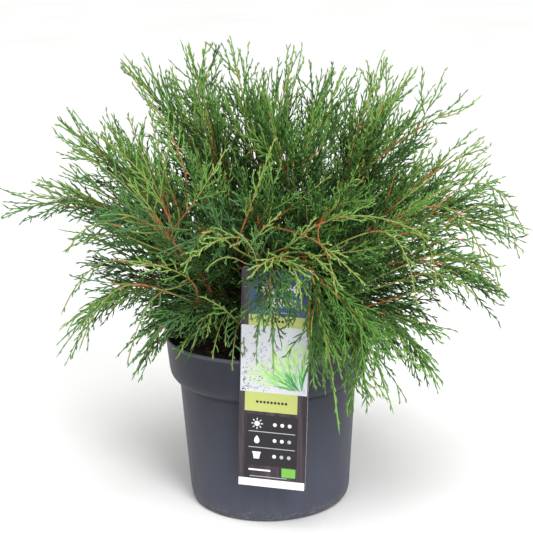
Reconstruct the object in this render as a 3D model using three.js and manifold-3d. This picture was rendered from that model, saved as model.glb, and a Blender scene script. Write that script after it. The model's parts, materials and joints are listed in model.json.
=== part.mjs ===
// A Siberian cypress, a low spreading conifer, in a round plastic nursery pot with a label hooked on the rim.
// Millimetres, +Z up. The origin is the centre of the pot's flat underside. The label hangs at the front, -Y.
import * as THREE from "three";
import { mergeVertices } from "three/addons/utils/BufferGeometryUtils.js";
import Module from "manifold-3d";

const wasm = await Module();
wasm.setup();

// Clearance kept between pieces that touch on the real plant.
const seat = 0.35;

// Nursery pot: a tapered wall under a wide collar, standing on a flat base whose heel has drain notches.
const pot = {
  height: 163,
  rimRadius: 95,
  collarFoot: 120,
  collarRadius: 92,
  wallTopRadius: 83,
  heelRadius: 76,
  baseRadius: 71,
  wall: 1.6,
  floor: 2.5,
  heelStep: 6,
  sides: 40,
  notches: 3,
  notchAngle: -16.5,
  notchWidth: 25,
  notchHeight: 4.2,
};

// Potting soil, a shallow mound a little under the rim.
const soil = { edgeHeight: 149, crownHeight: 154, flatRadius: 16, rings: 4, sides: 20 };

// Printed plastic label: a card with a tongue behind it that hooks over the rim.
const label = {
  width: 61,
  bottom: 45,
  top: 248,
  thick: 0.8,
  turn: -12,
  lean: 2.7,
  centre: 26.5,
  tongueWidth: 16,
  tongueReach: 84,
  tongueDrop: 10,
};

// Short trunk that flares into the soil. Boughs leave it in four tiers.
const trunk = { flareRadius: 13, neckRadius: 8.5, topRadius: 6, height: 56, leanX: 2, leanY: 1, sides: 10 };
const tierHeight = { low: 12, middle: 27, high: 40, crown: 50 };

// Thickness of the woody limbs, from the trunk to the last tip.
const bough = { rootRadius: 3, endRadius: 2, arch: 0.06, sides: 6, steps: 4 };
const stem = { rootRadius: 1.5, tipRadius: 0.6, sides: 3, steps: 5 };

// Foliage rule: toothed sprays in two ranks along each stem, and one that ends at its tip. Lengths of sprays
// are shares of the stem's, and teeth are placed by shares of their spray.
const foliage = {
  sprays: 5,
  firstSpray: 0.06,
  lastSpray: 0.74,
  spread: 30,
  spreadPlay: 14,
  roll: 140,
  sprayLength: 0.72,
  endLength: 0.14,
  lengthPlay: 0.3,
  sprayShares: [1, 0.75, 0.5],
  tipSpray: 46,
  tipSpread: 3,
  rootDepth: 1,
  firstTooth: 0.06,
  lastTooth: 0.84,
  toothPitch: 21,
  toothLength: 0.42,
  longestTooth: 38,
  toothTaper: 0.4,
  toothLean: 34,
  toothShares: [1, 0.7, 0.45, 0.2],
  stalk: 1.4,
  thick: 1.6,
  gap: 1,
  limbRoom: 4.2,
  potRoom: 4,
  labelRoom: 3.5,
  detail: 0.12,
};

// Each bough: tier and azimuth where it leaves the trunk, and the reach and height of the fork at its end.
// Each of its masses: azimuth, reach and height of the furthest tip, and how far its stem arches up.
const boughs = [
  { name: "left", tier: "middle", azimuth: 178, reach: 82, height: 252,
    masses: [[180, 242, 274, 26], [177, 188, 360, 14]] },
  { name: "left_low", tier: "low", azimuth: -174, reach: 62, height: 206,
    masses: [[-174, 197, 146, 34], [-162, 188, 256, 30]] },
  { name: "left_front", tier: "low", azimuth: -140, reach: 60, height: 204,
    masses: [[-149, 142, 140, 22], [-141, 178, 300, 26]] },
  { name: "front_left", tier: "middle", azimuth: -114, reach: 62, height: 250,
    masses: [[-112, 176, 262, 30], [-124, 128, 345, 8]] },
  { name: "front", tier: "low", azimuth: -88, reach: 50, height: 236,
    masses: [[-88, 146, 168, 50], [-96, 138, 318, 16]] },
  { name: "front_right", tier: "middle", azimuth: -66, reach: 58, height: 240,
    masses: [[-70, 172, 118, 58], [-58, 168, 312, 20]] },
  { name: "right_front", tier: "low", azimuth: -51, reach: 60, height: 210,
    masses: [[-53, 176, 128, 40], [-38, 206, 268, 30]] },
  { name: "right_low", tier: "low", azimuth: -15, reach: 64, height: 200,
    masses: [[-24, 170, 122, 26], [-16, 224, 206, 32]] },
  { name: "right", tier: "middle", azimuth: -4, reach: 82, height: 238,
    masses: [[-7, 238, 238, 34], [-12, 204, 338, 16]] },
  { name: "right_high", tier: "high", azimuth: 6, reach: 66, height: 284,
    masses: [[0, 192, 370, 14], [9, 144, 398, 10]] },
  { name: "right_back", tier: "middle", azimuth: 30, reach: 76, height: 250,
    masses: [[25, 226, 250, 30], [32, 142, 404, 0]] },
  { name: "back_right", tier: "low", azimuth: 62, reach: 70, height: 222,
    masses: [[54, 206, 186, 36], [68, 200, 338, 14]] },
  { name: "back_left", tier: "low", azimuth: 106, reach: 70, height: 226,
    masses: [[94, 218, 218, 36], [116, 192, 344, 14]] },
  { name: "left_back", tier: "low", azimuth: 148, reach: 76, height: 240,
    masses: [[159, 208, 316, 24], [138, 216, 222, 34]] },
  { name: "top_left", tier: "high", azimuth: 160, reach: 38, height: 300,
    masses: [[169, 130, 410, 8], [146, 80, 424, 2]] },
  { name: "top", tier: "crown", azimuth: 84, reach: 22, height: 300,
    masses: [[119, 60, 430, 2], [68, 88, 418, 4]] },
  { name: "top_front", tier: "high", azimuth: -40, reach: 32, height: 296,
    masses: [[14, 80, 404, 2], [-88, 62, 392, 2]] },
];

const up = new THREE.Vector3(0, 0, 1);
const radians = THREE.MathUtils.degToRad;
const lerp = THREE.MathUtils.lerp;

// A fixed number from 0 to 1 for each combination of keys, so that every build grows the same plant.
function chance(...keys) {
  const weights = [12.9898, 78.233, 37.719];
  const wave = Math.sin(keys.reduce((sum, key, i) => sum + key * weights[i], 1)) * 43758.5453;
  return wave - Math.floor(wave);
}

function polar(azimuth, reach, height) {
  const turn = radians(azimuth);
  return new THREE.Vector3(reach * Math.cos(turn), reach * Math.sin(turn), height);
}

// A three.js geometry as a solid that can be joined and cut.
function solidOf(geometry) {
  const bare = geometry.index ? geometry.toNonIndexed() : geometry.clone();
  bare.deleteAttribute("normal");
  bare.deleteAttribute("uv");
  const merged = mergeVertices(bare, 1e-4);
  return new wasm.Manifold(
    new wasm.Mesh({
      numProp: 3,
      vertProperties: merged.attributes.position.array,
      triVerts: new Uint32Array(merged.index.array),
    }),
  );
}

function geometryOf(solid) {
  const { vertProperties, triVerts } = solid.getMesh();
  const geometry = new THREE.BufferGeometry();
  geometry.setAttribute("position", new THREE.BufferAttribute(vertProperties, 3));
  geometry.setIndex(new THREE.BufferAttribute(triVerts, 1));
  geometry.computeVertexNormals();
  return geometry;
}

// A closed tube along a curve: the rings of a cylinder, each moved to its place and given its own radius.
function taperedTube(curve, radiusAt, sides, steps) {
  const geometry = new THREE.CylinderGeometry(1, 1, 1, sides, steps);
  const place = geometry.attributes.position;
  const chord = curve.getPoint(1).sub(curve.getPoint(0));
  const side = new THREE.Vector3().crossVectors(chord, up).normalize();
  const vertex = new THREE.Vector3();
  for (let i = 0; i < place.count; i++) {
    vertex.fromBufferAttribute(place, i);
    const along = vertex.y + 0.5;
    const tangent = curve.getTangent(along);
    const across = side.clone().addScaledVector(tangent, -side.dot(tangent)).normalize();
    const lift = new THREE.Vector3().crossVectors(tangent, across);
    const radius = radiusAt(along);
    const point = curve.getPoint(along);
    point.addScaledVector(across, vertex.x * radius).addScaledVector(lift, -vertex.z * radius);
    place.setXYZ(i, point.x, point.y, point.z);
  }
  return geometry;
}

// An arching limb: the middle of the line from start to end is lifted by arch.
function archingCurve(start, end, arch) {
  const control = start.clone().add(end).multiplyScalar(0.5).addScaledVector(up, 2 * arch);
  return new THREE.QuadraticBezierCurve3(start, control, end);
}

function makePot() {
  const p = pot;
  const inner = p.wallTopRadius - p.wall;
  const profile = [
    [0, 0],
    [p.baseRadius, 0],
    [p.baseRadius + 3.5, 3],
    [p.heelRadius, 9],
    [p.wallTopRadius, p.collarFoot],
    [p.wallTopRadius + 4.5, p.collarFoot + 2],
    [p.collarRadius - 1, p.collarFoot + 7],
    [p.collarRadius, p.collarFoot + 12],
    [p.rimRadius - 0.6, p.height - 3],
    [p.rimRadius, p.height - 1.5],
    [p.rimRadius - 0.4, p.height],
    [p.rimRadius - p.wall, p.height],
    [p.collarRadius - p.wall, p.collarFoot + 13],
    [inner, p.collarFoot + 2],
    [p.heelRadius - p.wall, p.heelStep + 3],
    [p.baseRadius - 4, p.heelStep],
    [p.baseRadius - 9, p.floor],
    [0, p.floor],
  ].map(([r, z]) => new THREE.Vector2(r, z));
  const shell = new THREE.LatheGeometry(profile, p.sides).rotateX(Math.PI / 2);
  let solid = solidOf(shell);
  for (let i = 0; i < p.notches; i++) {
    const cutter = new THREE.BoxGeometry(12, p.notchWidth, 2 * p.notchHeight)
      .translate(p.baseRadius + 3, 0, 0)
      .rotateZ(radians(p.notchAngle + (360 / p.notches) * i));
    solid = solid.subtract(solidOf(cutter));
  }
  return solid;
}

// The soil follows the inside of the pot and rises gently to a flat spot round the trunk.
function soilHeight(radius) {
  const rim = pot.collarRadius - pot.wall - 0.5;
  const share = THREE.MathUtils.clamp((rim - radius) / (rim - soil.flatRadius), 0, 1);
  return soil.edgeHeight + (soil.crownHeight - soil.edgeHeight) * Math.sin((share * Math.PI) / 2);
}

function makeSoil() {
  const p = pot;
  const play = 0.5;
  const slope = (p.rimRadius - p.collarRadius) / (p.height - p.collarFoot - 13);
  const edge = p.collarRadius - p.wall - play + slope * (soil.edgeHeight - p.collarFoot - 13);
  const profile = [
    [0, p.floor + seat],
    [p.baseRadius - 9.5, p.floor + seat],
    [p.baseRadius - 4.5, p.heelStep + seat],
    [p.heelRadius - p.wall - play, p.heelStep + 3.5],
    [p.wallTopRadius - p.wall - play, p.collarFoot + 2.3],
    [p.collarRadius - p.wall - play, p.collarFoot + 13.4],
    [edge, soil.edgeHeight],
  ];
  for (let i = 1; i <= soil.rings; i++) {
    const radius = lerp(edge, soil.flatRadius, i / soil.rings);
    profile.push([radius, soilHeight(radius)]);
  }
  profile.push([0, soil.crownHeight]);
  const points = profile.map(([r, z]) => new THREE.Vector2(r, z));
  return solidOf(new THREE.LatheGeometry(points, soil.sides).rotateX(Math.PI / 2));
}

// The label's own frame is turned about the pot's axis: x runs across the card, y towards the pot. The card
// leans a little to the right of its tongue.
function makeLabel() {
  const front = -(pot.rimRadius + seat + label.thick);
  const back = -label.tongueReach;
  const bridgeFoot = pot.height + seat;
  const block = (width, low, high, near, far) =>
    solidOf(new THREE.BoxGeometry(width, far - near, high - low))
      .translate([label.centre, (near + far) / 2, (low + high) / 2]);
  const card = block(label.width, label.bottom, label.top, front, front + label.thick)
    .translate([-label.centre, 0, -bridgeFoot])
    .rotate([0, label.lean, 0])
    .translate([label.centre, 0, bridgeFoot]);
  const bridge = block(label.tongueWidth, bridgeFoot, bridgeFoot + label.thick, front, back);
  const tongueTip = bridgeFoot - label.tongueDrop;
  const leg = block(label.tongueWidth, tongueTip, bridgeFoot + label.thick, back - label.thick, back);
  return card.add(bridge).add(leg).rotate([0, 0, label.turn]);
}

const ground = soil.crownHeight + seat;
const trunkFoot = new THREE.Vector3(0, 0, ground);
const trunkTop = new THREE.Vector3(trunk.leanX, trunk.leanY, ground + trunk.height);

function trunkRadius(rise) {
  const flare = (trunk.flareRadius - trunk.neckRadius) * Math.exp(-rise * 9);
  return lerp(trunk.neckRadius, trunk.topRadius, rise) + flare;
}

// The trunk's flat cut is level, so its rings are level too.
function makeTrunk() {
  const steps = 8;
  const geometry = new THREE.CylinderGeometry(1, 1, 1, trunk.sides, steps);
  const place = geometry.attributes.position;
  for (let i = 0; i < place.count; i++) {
    const rise = place.getY(i) + 0.5;
    const radius = trunkRadius(rise);
    const axis = trunkFoot.clone().lerp(trunkTop, rise);
    place.setXYZ(i, axis.x + place.getZ(i) * radius, axis.y + place.getX(i) * radius, axis.z);
  }
  return solidOf(geometry);
}

// A bough leaves the trunk's bark at its tier and climbs to its fork. The steeper its root, the further out
// it starts, so that it clears the bark.
function boughCurve(row) {
  const rise = tierHeight[row.tier] / trunk.height;
  const axis = trunkFoot.clone().lerp(trunkTop, rise);
  const fork = polar(row.azimuth, row.reach, row.height);
  const out = polar(row.azimuth, 1, 0);
  const arch = bough.arch * (fork.z - axis.z);
  const steep = Math.atan2(fork.z - axis.z + 4 * arch, row.reach - trunk.topRadius);
  const clear = trunkRadius(rise) + bough.rootRadius * Math.sin(steep) + seat;
  return archingCurve(axis.clone().addScaledVector(out, clear), fork, arch);
}

function boughRadius(along) {
  return lerp(bough.rootRadius, bough.endRadius, along);
}

function stemRadius(along) {
  return lerp(stem.rootRadius, stem.tipRadius, along);
}

// The stems of a bough's masses start side by side, just clear of the bough's end however much they lean.
function stemCurves(row, limb) {
  const fork = limb.getPoint(1);
  const ahead = limb.getTangent(1);
  const tips = row.masses.map(([azimuth, reach, height]) => polar(azimuth, reach, height));
  const apart = tips[0].clone().sub(tips[1]);
  apart.addScaledVector(ahead, -apart.dot(ahead)).normalize();
  return row.masses.map(([, , , arch], i) => {
    const lean = archingCurve(fork, tips[i], arch).getTangent(0).angleTo(ahead);
    const start = fork
      .clone()
      .addScaledVector(apart, (i ? -1 : 1) * (stem.rootRadius + seat))
      .addScaledVector(ahead, stem.rootRadius * Math.sin(lean) + seat);
    return archingCurve(start, tips[i], arch);
  });
}

// Everything that foliage has to keep clear of, as points along each limb.
const limbs = boughs.map((row) => {
  const curve = boughCurve(row);
  return { ...row, curve, stems: stemCurves(row, curve) };
});
const limbPoints = limbs.map((limb) => limb.curve.getPoints(24));
const stemPoints = limbs.flatMap((limb) => limb.stems.map((curve) => curve.getPoints(40)));

function nearest(point, line) {
  return Math.sqrt(Math.min(...line.map((other) => point.distanceToSquared(other))));
}

function clearOfPot(point) {
  const radius = Math.hypot(point.x, point.y);
  return radius > pot.rimRadius + foliage.potRoom || point.z > pot.height + foliage.potRoom;
}

function clearOfLabel(point) {
  const local = point.clone().applyAxisAngle(up, -radians(label.turn));
  const middle = label.centre + (point.z - pot.height - seat) * Math.tan(radians(label.lean));
  const beside = Math.abs(local.x - middle) > label.width / 2 + foliage.labelRoom;
  const apart = Math.abs(local.y + pot.rimRadius + seat + label.thick / 2) > foliage.labelRoom + label.thick;
  return beside || apart || point.z > label.top + foliage.labelRoom;
}

// A mass keeps to the space nearer its own stem than any other, clear of the boughs, the pot and the label.
function inSpace(point, mass) {
  const own = nearest(point, stemPoints[mass]);
  const free = stemPoints.every((line, i) => i === mass || nearest(point, line) > own + foliage.gap);
  const clear = limbPoints.every((line) => nearest(point, line) > foliage.limbRoom);
  return free && clear && clearOfPot(point) && clearOfLabel(point);
}

// A toothed blade, flat below and raised along its spine. Each side lists its corners from the root outwards:
// a foot, then the tip of each tooth and the foot after it. The blade ends in a point.
function bladeGeometry(sides, length) {
  const rim = [...sides[0], [length, 0], ...sides[1].toReversed()].map(([x, y]) => new THREE.Vector2(x, y));
  const feet = sides[0].filter((corner, i) => i % 2 === 0);
  const crest = feet.map(([x]) => new THREE.Vector3(x, 0, foliage.thick));
  const faces = THREE.ShapeUtils.triangulateShape(rim, []).map(([a, b, c]) => [a, c, b]);
  const leftCorner = (i) => i;
  const rightCorner = (i) => rim.length - 1 - i;
  [leftCorner, rightCorner].forEach((corner, right) => {
    const add = (a, b, c) => faces.push(right ? [a, c, b] : [a, b, c]);
    for (let i = 0; i < crest.length - 1; i++) {
      const ridge = rim.length + i;
      add(ridge, ridge + 1, corner(2 * i + 2));
      add(ridge, corner(2 * i + 2), corner(2 * i + 1));
      add(ridge, corner(2 * i + 1), corner(2 * i));
    }
    add(rim.length + crest.length - 1, sides[0].length, corner(sides[0].length - 1));
  });
  faces.push([0, rim.length - 1, rim.length]);
  const points = [...rim.map(({ x, y }) => new THREE.Vector3(x, y, 0)), ...crest];
  return new THREE.BufferGeometry().setFromPoints(points).setIndex(faces.flat());
}

// A toothed spray. Each tooth is as long as its space allows. Without room for short teeth there is no spray.
function spray(root, direction, flat, length, fits) {
  const s = foliage;
  const lean = radians(s.toothLean);
  const teeth = Math.max(2, Math.round(length / s.toothPitch));
  const face = new THREE.Vector3().crossVectors(direction, flat);
  const place = new THREE.Matrix4().makeBasis(direction, flat, face).setPosition(root);
  const inside = (along, beside) => fits(new THREE.Vector3(along, beside, 0).applyMatrix4(place));
  const sides = [1, -1].map((hand) => {
    const corners = [[0, (hand * s.stalk) / 2]];
    for (let i = 0; i < teeth; i++) {
      const foot = length * lerp(s.firstTooth, s.lastTooth, i / teeth);
      const next = length * lerp(s.firstTooth, s.lastTooth, (i + 1) / teeth);
      const full = Math.min(length * s.toothLength, s.longestTooth) * (1 - (s.toothTaper * i) / teeth);
      const tooth = (share) => [full * share * Math.cos(lean), hand * full * share * Math.sin(lean)];
      const room = ([x, y]) => inside(foot + x, y) && inside(foot + x / 2, y / 2);
      const tip = s.toothShares.map(tooth).find(room);
      if (!tip) return null;
      corners.push([foot + tip[0], tip[1]], [next, (hand * s.stalk) / 2]);
    }
    return corners;
  });
  if (sides.includes(null) || !inside(length, 0) || !inside(length * 0.6, 0)) return null;
  return solidOf(bladeGeometry(sides, length).applyMatrix4(place));
}

// The direction in which a side shoot leaves a curve: forward along it and out to one side, rolled by turn.
function branching(curve, along, rank, spread, turn) {
  const tangent = curve.getTangent(along);
  const across = new THREE.Vector3().crossVectors(tangent, up).normalize().multiplyScalar(rank);
  across.applyAxisAngle(tangent, turn);
  const direction = tangent.multiplyScalar(Math.cos(spread)).addScaledVector(across, Math.sin(spread));
  const flat = across.clone().addScaledVector(direction, -across.dot(direction)).normalize();
  return { direction, flat };
}

function growMass(mass, curve, limbSolids) {
  const length = curve.getLength();
  const fits = (point) => inSpace(point, mass);
  let whole = solidOf(taperedTube(curve, stemRadius, stem.sides, stem.steps));
  const place = (solid) => {
    if (!solid || limbSolids.some((limb) => !solid.intersect(limb).isEmpty())) return false;
    whole = whole.add(solid);
    return true;
  };
  const addSpray = (along, rank, spread, size, key) => {
    const turn = radians(foliage.roll) * (chance(mass, key, 2) - 0.5);
    const { direction, flat } = branching(curve, along, rank, radians(spread), turn);
    const root = curve.getPoint(along).addScaledVector(direction, -foliage.rootDepth);
    const full = size * (1 + foliage.lengthPlay * (chance(mass, key, 3) - 0.5));
    foliage.sprayShares.some((share) => place(spray(root, direction, flat, full * share, fits)));
  };
  for (let k = 0; k < foliage.sprays; k++) {
    const along = lerp(foliage.firstSpray, foliage.lastSpray, k / (foliage.sprays - 1));
    const spread = foliage.spread + foliage.spreadPlay * (chance(mass, k, 1) - 0.5);
    addSpray(along, k % 2 ? 1 : -1, spread, length * lerp(foliage.sprayLength, foliage.endLength, along), k);
  }
  addSpray(1 - foliage.tipSpray / length, 1, foliage.tipSpread, foliage.tipSpray, foliage.sprays);
  const parts = whole.asOriginal().simplify(foliage.detail).decompose();
  return parts.sort((a, b) => b.volume() - a.volume())[0];
}

const colours = {
  pot: { color: 0x41444d, roughness: 0.55 },
  soil: { color: 0x33261c, roughness: 0.95 },
  label: { color: 0x3a5068, roughness: 0.4 },
  bark: { color: 0x7a4a2c, roughness: 0.85 },
  foliage: { color: 0x477d3a, roughness: 0.6 },
};

const plant = new THREE.Group();

function addNode(name, solid, finish) {
  const material = new THREE.MeshStandardMaterial({ ...finish, metalness: 0, flatShading: true });
  const mesh = new THREE.Mesh(geometryOf(solid), material);
  mesh.name = name;
  plant.add(mesh);
}

addNode("pot", makePot(), colours.pot);
addNode("soil", makeSoil(), colours.soil);
addNode("label", makeLabel(), colours.label);
addNode("trunk", makeTrunk(), colours.bark);

const makeBough = ({ curve }) => solidOf(taperedTube(curve, boughRadius, bough.sides, bough.steps));
const boughSolids = limbs.map(makeBough);
limbs.forEach((limb, i) => {
  addNode("bough_" + limb.name, boughSolids[i], colours.bark);
  limb.stems.forEach((curve, j) => {
    const end = ["a", "b"][j];
    addNode("foliage_" + limb.name + "_" + end, growMass(2 * i + j, curve, boughSolids), colours.foliage);
  });
});

export default plant;
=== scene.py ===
# A potted Siberian cypress: the looks of its pot, soil, label, wood and foliage, built round the packed
# frame. Shapes are worked out in millimetres, as in the frame's own source, and become metres in a mesh.
import json
import math

import bpy
import numpy as np
from mathutils import Matrix, Vector

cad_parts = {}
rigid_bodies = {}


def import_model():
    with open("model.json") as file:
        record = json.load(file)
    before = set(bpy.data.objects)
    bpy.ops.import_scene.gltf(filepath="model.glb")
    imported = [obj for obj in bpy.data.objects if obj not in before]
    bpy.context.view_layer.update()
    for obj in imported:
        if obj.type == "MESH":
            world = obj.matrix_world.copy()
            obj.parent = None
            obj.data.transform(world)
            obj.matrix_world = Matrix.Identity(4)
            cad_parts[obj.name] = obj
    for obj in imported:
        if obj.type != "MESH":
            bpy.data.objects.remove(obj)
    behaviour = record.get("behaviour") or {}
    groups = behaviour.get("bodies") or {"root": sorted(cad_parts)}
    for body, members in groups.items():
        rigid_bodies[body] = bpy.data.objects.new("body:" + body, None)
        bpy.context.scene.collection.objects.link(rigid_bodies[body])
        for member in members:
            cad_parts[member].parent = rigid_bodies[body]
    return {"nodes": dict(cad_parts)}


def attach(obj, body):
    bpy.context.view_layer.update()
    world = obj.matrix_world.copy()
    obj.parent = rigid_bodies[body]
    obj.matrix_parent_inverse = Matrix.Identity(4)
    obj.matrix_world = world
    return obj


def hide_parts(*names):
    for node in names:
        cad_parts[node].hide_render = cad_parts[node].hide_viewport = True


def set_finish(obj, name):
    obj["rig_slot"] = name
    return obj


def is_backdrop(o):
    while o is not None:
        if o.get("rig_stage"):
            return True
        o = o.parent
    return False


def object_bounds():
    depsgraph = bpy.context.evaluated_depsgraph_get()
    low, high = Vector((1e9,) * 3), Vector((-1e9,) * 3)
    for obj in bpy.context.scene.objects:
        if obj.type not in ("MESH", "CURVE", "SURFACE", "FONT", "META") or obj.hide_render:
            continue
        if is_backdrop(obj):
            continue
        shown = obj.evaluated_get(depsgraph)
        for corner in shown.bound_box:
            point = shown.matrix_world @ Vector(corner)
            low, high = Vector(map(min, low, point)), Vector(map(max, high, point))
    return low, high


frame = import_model()
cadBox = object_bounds()
boxLow, boxHigh = (np.array(corner) * 1000 for corner in cadBox)
print("frame loaded with", len(frame["nodes"]), "nodes")

rng = np.random.default_rng(11)  # the same draws on every run
up = np.array([0.0, 0.0, 1.0])


# sRGB hex to linear light: c / 12.92 in the dark end, else ((c + 0.055) / 1.055) ^ 2.4
def linearColour(code):
    channels = np.array([int(code[i:i + 2], 16) for i in (1, 3, 5)]) / 255
    linear = np.where(channels <= 0.04045, channels / 12.92, ((channels + 0.055) / 1.055) ** 2.4)
    return (*linear.tolist(), 1.0)


# fills a node's inputs by socket name or number: a socket given is linked, and a value is set
def fillInputs(tree, node, inputs):
    for name, value in inputs.items():
        if isinstance(value, bpy.types.NodeSocket):
            tree.links.new(value, node.inputs[name])
        else:
            node.inputs[name].default_value = value


# adds a node: settings are its attributes, and inputs are what its sockets get
def addNode(tree, kind, inputs=None, **settings):
    node = tree.nodes.new(kind)
    for name, value in settings.items():
        setattr(node, name, value)
    fillInputs(tree, node, inputs or {})
    return node


# a new material with its tree, its shader and the point being shaded in metres
def startMaterial(name):
    material = bpy.data.materials.new(name)
    material.use_nodes = True
    tree = material.node_tree
    place = addNode(tree, "ShaderNodeTexCoord").outputs["Object"]
    return material, tree, tree.nodes["Principled BSDF"], place


# dresses a shader by patterns: tint is one with the two colours it mixes, rough one with the roughness at its
# low and high end, and relief one with the strength and the depth in metres that it raises the surface by
def dressSurface(tree, shader, tint, rough, relief, others=None):
    colour = addNode(tree, "ShaderNodeMix", dict(zip((0, 6, 7), tint)), data_type="RGBA")
    gloss = addNode(tree, "ShaderNodeMapRange", dict(zip(("Value", "To Min", "To Max"), rough)))
    bump = addNode(tree, "ShaderNodeBump", dict(zip(("Height", "Strength", "Distance"), relief)))
    fillInputs(tree, shader, {"Base Color": colour.outputs[2], "Roughness": gloss.outputs[0],
                              "Normal": bump.outputs[0], **(others or {})})


# a length-one vector: v / |v|
def unit(v):
    return v / np.maximum(np.linalg.norm(v, axis=-1, keepdims=True), 1e-9)


# a share of the way from a to b: a + (b - a) share
def lerp(a, b, share):
    return a + (b - a) * share


# the angles of a full turn in equal steps
def fullTurn(sides):
    return 2 * np.pi * np.arange(sides) / sides


# places round the upright axis: (radius cos a, radius sin a, height)
def roundAxis(radius, angle, height):
    return np.stack(np.broadcast_arrays(radius * np.cos(angle), radius * np.sin(angle), height), -1)


# a mesh from whole arrays: points in millimetres, faces as rows of four and rows of three corners
def makePiece(name, points, quads, triangles, material, slot, replaced=(), smooth=True):
    quads = np.asarray(quads, np.int64).reshape(-1, 4)
    triangles = np.asarray(triangles, np.int64).reshape(-1, 3)
    mesh = bpy.data.meshes.new(name)
    mesh.vertices.add(len(points))
    mesh.vertices.foreach_set("co", (points * 0.001).astype(np.float32).ravel())
    corners = np.concatenate([quads.ravel(), triangles.ravel()])
    mesh.loops.add(len(corners))
    mesh.loops.foreach_set("vertex_index", corners.astype(np.int32))
    starts = np.concatenate([np.arange(len(quads)) * 4, len(quads) * 4 + np.arange(len(triangles)) * 3])
    mesh.polygons.add(len(starts))
    mesh.polygons.foreach_set("loop_start", starts.astype(np.int32))
    mesh.polygons.foreach_set("use_smooth", np.full(len(starts), smooth))
    mesh.update(calc_edges=True)
    mesh.materials.append(material)
    piece = bpy.data.objects.new(name, mesh)
    bpy.context.scene.collection.objects.link(piece)
    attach(piece, "root")
    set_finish(piece, slot)
    if replaced:
        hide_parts(*replaced)
    return piece


# the quads of a grid of rows by columns, wrapped round in either direction where it closes on itself
def gridQuads(rows, columns, wrapRows=False, wrapColumns=True):
    i = np.arange(rows if wrapRows else rows - 1)[:, None]
    j = np.arange(columns if wrapColumns else columns - 1)[None, :]
    nextRow, nextColumn = (i + 1) % rows, (j + 1) % columns
    corner = lambda a, b: (a * columns + b).ravel()
    return np.stack([corner(i, j), corner(i, nextColumn), corner(nextRow, nextColumn), corner(nextRow, j)], 1)


# a fan of triangles from a middle corner to the ring of corners that begins at first
def ringFan(middle, first, sides):
    k = np.arange(sides)
    return np.stack([np.full(sides, middle), first + k, first + (k + 1) % sides], 1)


# rings of corners round the upright axis, closed at both ends by a fan to a middle corner
def closeRings(rings, low, high):
    rows, sides = rings.shape[:2]
    points = np.concatenate([rings.reshape(-1, 3), [[0, 0, low], [0, 0, high]]])
    under = ringFan(rows * sides, 0, sides)[:, [0, 2, 1]]
    over = ringFan(rows * sides + 1, (rows - 1) * sides, sides)
    return points, gridQuads(rows, sides), np.concatenate([under, over])


# many round limbs at once: a ring of corners round every middle point, closed by a flat foot and a pointed
# end. ring = middle + radius (cos a side + flatten sin a lift), side = slope x face, lift = side x slope
def carryRings(middle, end, radius, face, sides, flatten=1.0):
    count, rings = middle.shape[:2]
    ahead = np.concatenate([middle[:, 1:], end[:, None]], 1)
    behind = np.concatenate([middle[:, :1], middle[:, :-1]], 1)
    slope = unit(ahead - behind)
    side = unit(np.cross(slope, face[:, None]))
    lift = np.cross(side, slope)
    angle = fullTurn(sides)
    across = side[:, :, None] * np.cos(angle)[:, None] + lift[:, :, None] * (flatten * np.sin(angle))[:, None]
    rim = middle[:, :, None] + (radius if radius.ndim == 3 else radius[:, :, None])[..., None] * across
    points = np.concatenate([rim.reshape(count, -1, 3), end[:, None]], 1)
    first = np.arange(count)[:, None, None] * (rings * sides + 1)
    quads = (first + gridQuads(rings, sides)[:, ::-1]).reshape(-1, 4)
    k = np.arange(sides)
    last = (rings - 1) * sides
    tips = np.stack([last + k, np.full(sides, rings * sides), last + (k + 1) % sides], 1)
    fans = np.stack([np.zeros(sides - 2, int), k[1:-1], k[2:]], 1)
    return points.reshape(-1, 3), quads, (first + np.concatenate([tips, fans])).reshape(-1, 3)


# joins several lots of points, quads and triangles into one, each lot's corners counted on from the last
def joinLots(lots):
    shift = np.cumsum([0] + [len(points) for points, _, _ in lots])
    quads = np.concatenate([np.asarray(lot[1]).reshape(-1, 4) + s for lot, s in zip(lots, shift)])
    triangles = np.concatenate([np.asarray(lot[2]).reshape(-1, 3) + s for lot, s in zip(lots, shift)])
    return np.concatenate([lot[0] for lot in lots]), quads, triangles


# a profile of (radius, height, cut) corners with each corner rounded off: between the two points that lie
# the cut away from the corner runs a quadratic curve with the corner as its control
def roundProfile(corners, steps):
    corner = np.array([row[:2] for row in corners], float)
    cut = np.array([row[2] for row in corners], float)[1:-1, None]
    middle = corner[1:-1]
    before = middle + cut * unit(corner[:-2] - middle)
    after = middle + cut * unit(corner[2:] - middle)
    t = np.linspace(0, 1, steps)[None, :, None]
    arcs = (1 - t) ** 2 * before[:, None] + 2 * t * (1 - t) * middle[:, None] + t ** 2 * after[:, None]
    return np.concatenate([corner[:1], arcs.reshape(-1, 2), corner[-1:]])


# the camera stands where the photograph was taken from
cameraView = {
    "place": (0.0, -1.230, 0.5488),
    "pitchDown": 14.81,
    "turnRight": 0.057,
    "roll": -1.37,
    "lens": 92.63,  # mm, which is 1371.5 pixels
    "sensor": 36,  # mm across the picture
    "pictureSide": 533,  # pixels
    "clipEnd": 60,  # metres
}


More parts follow.
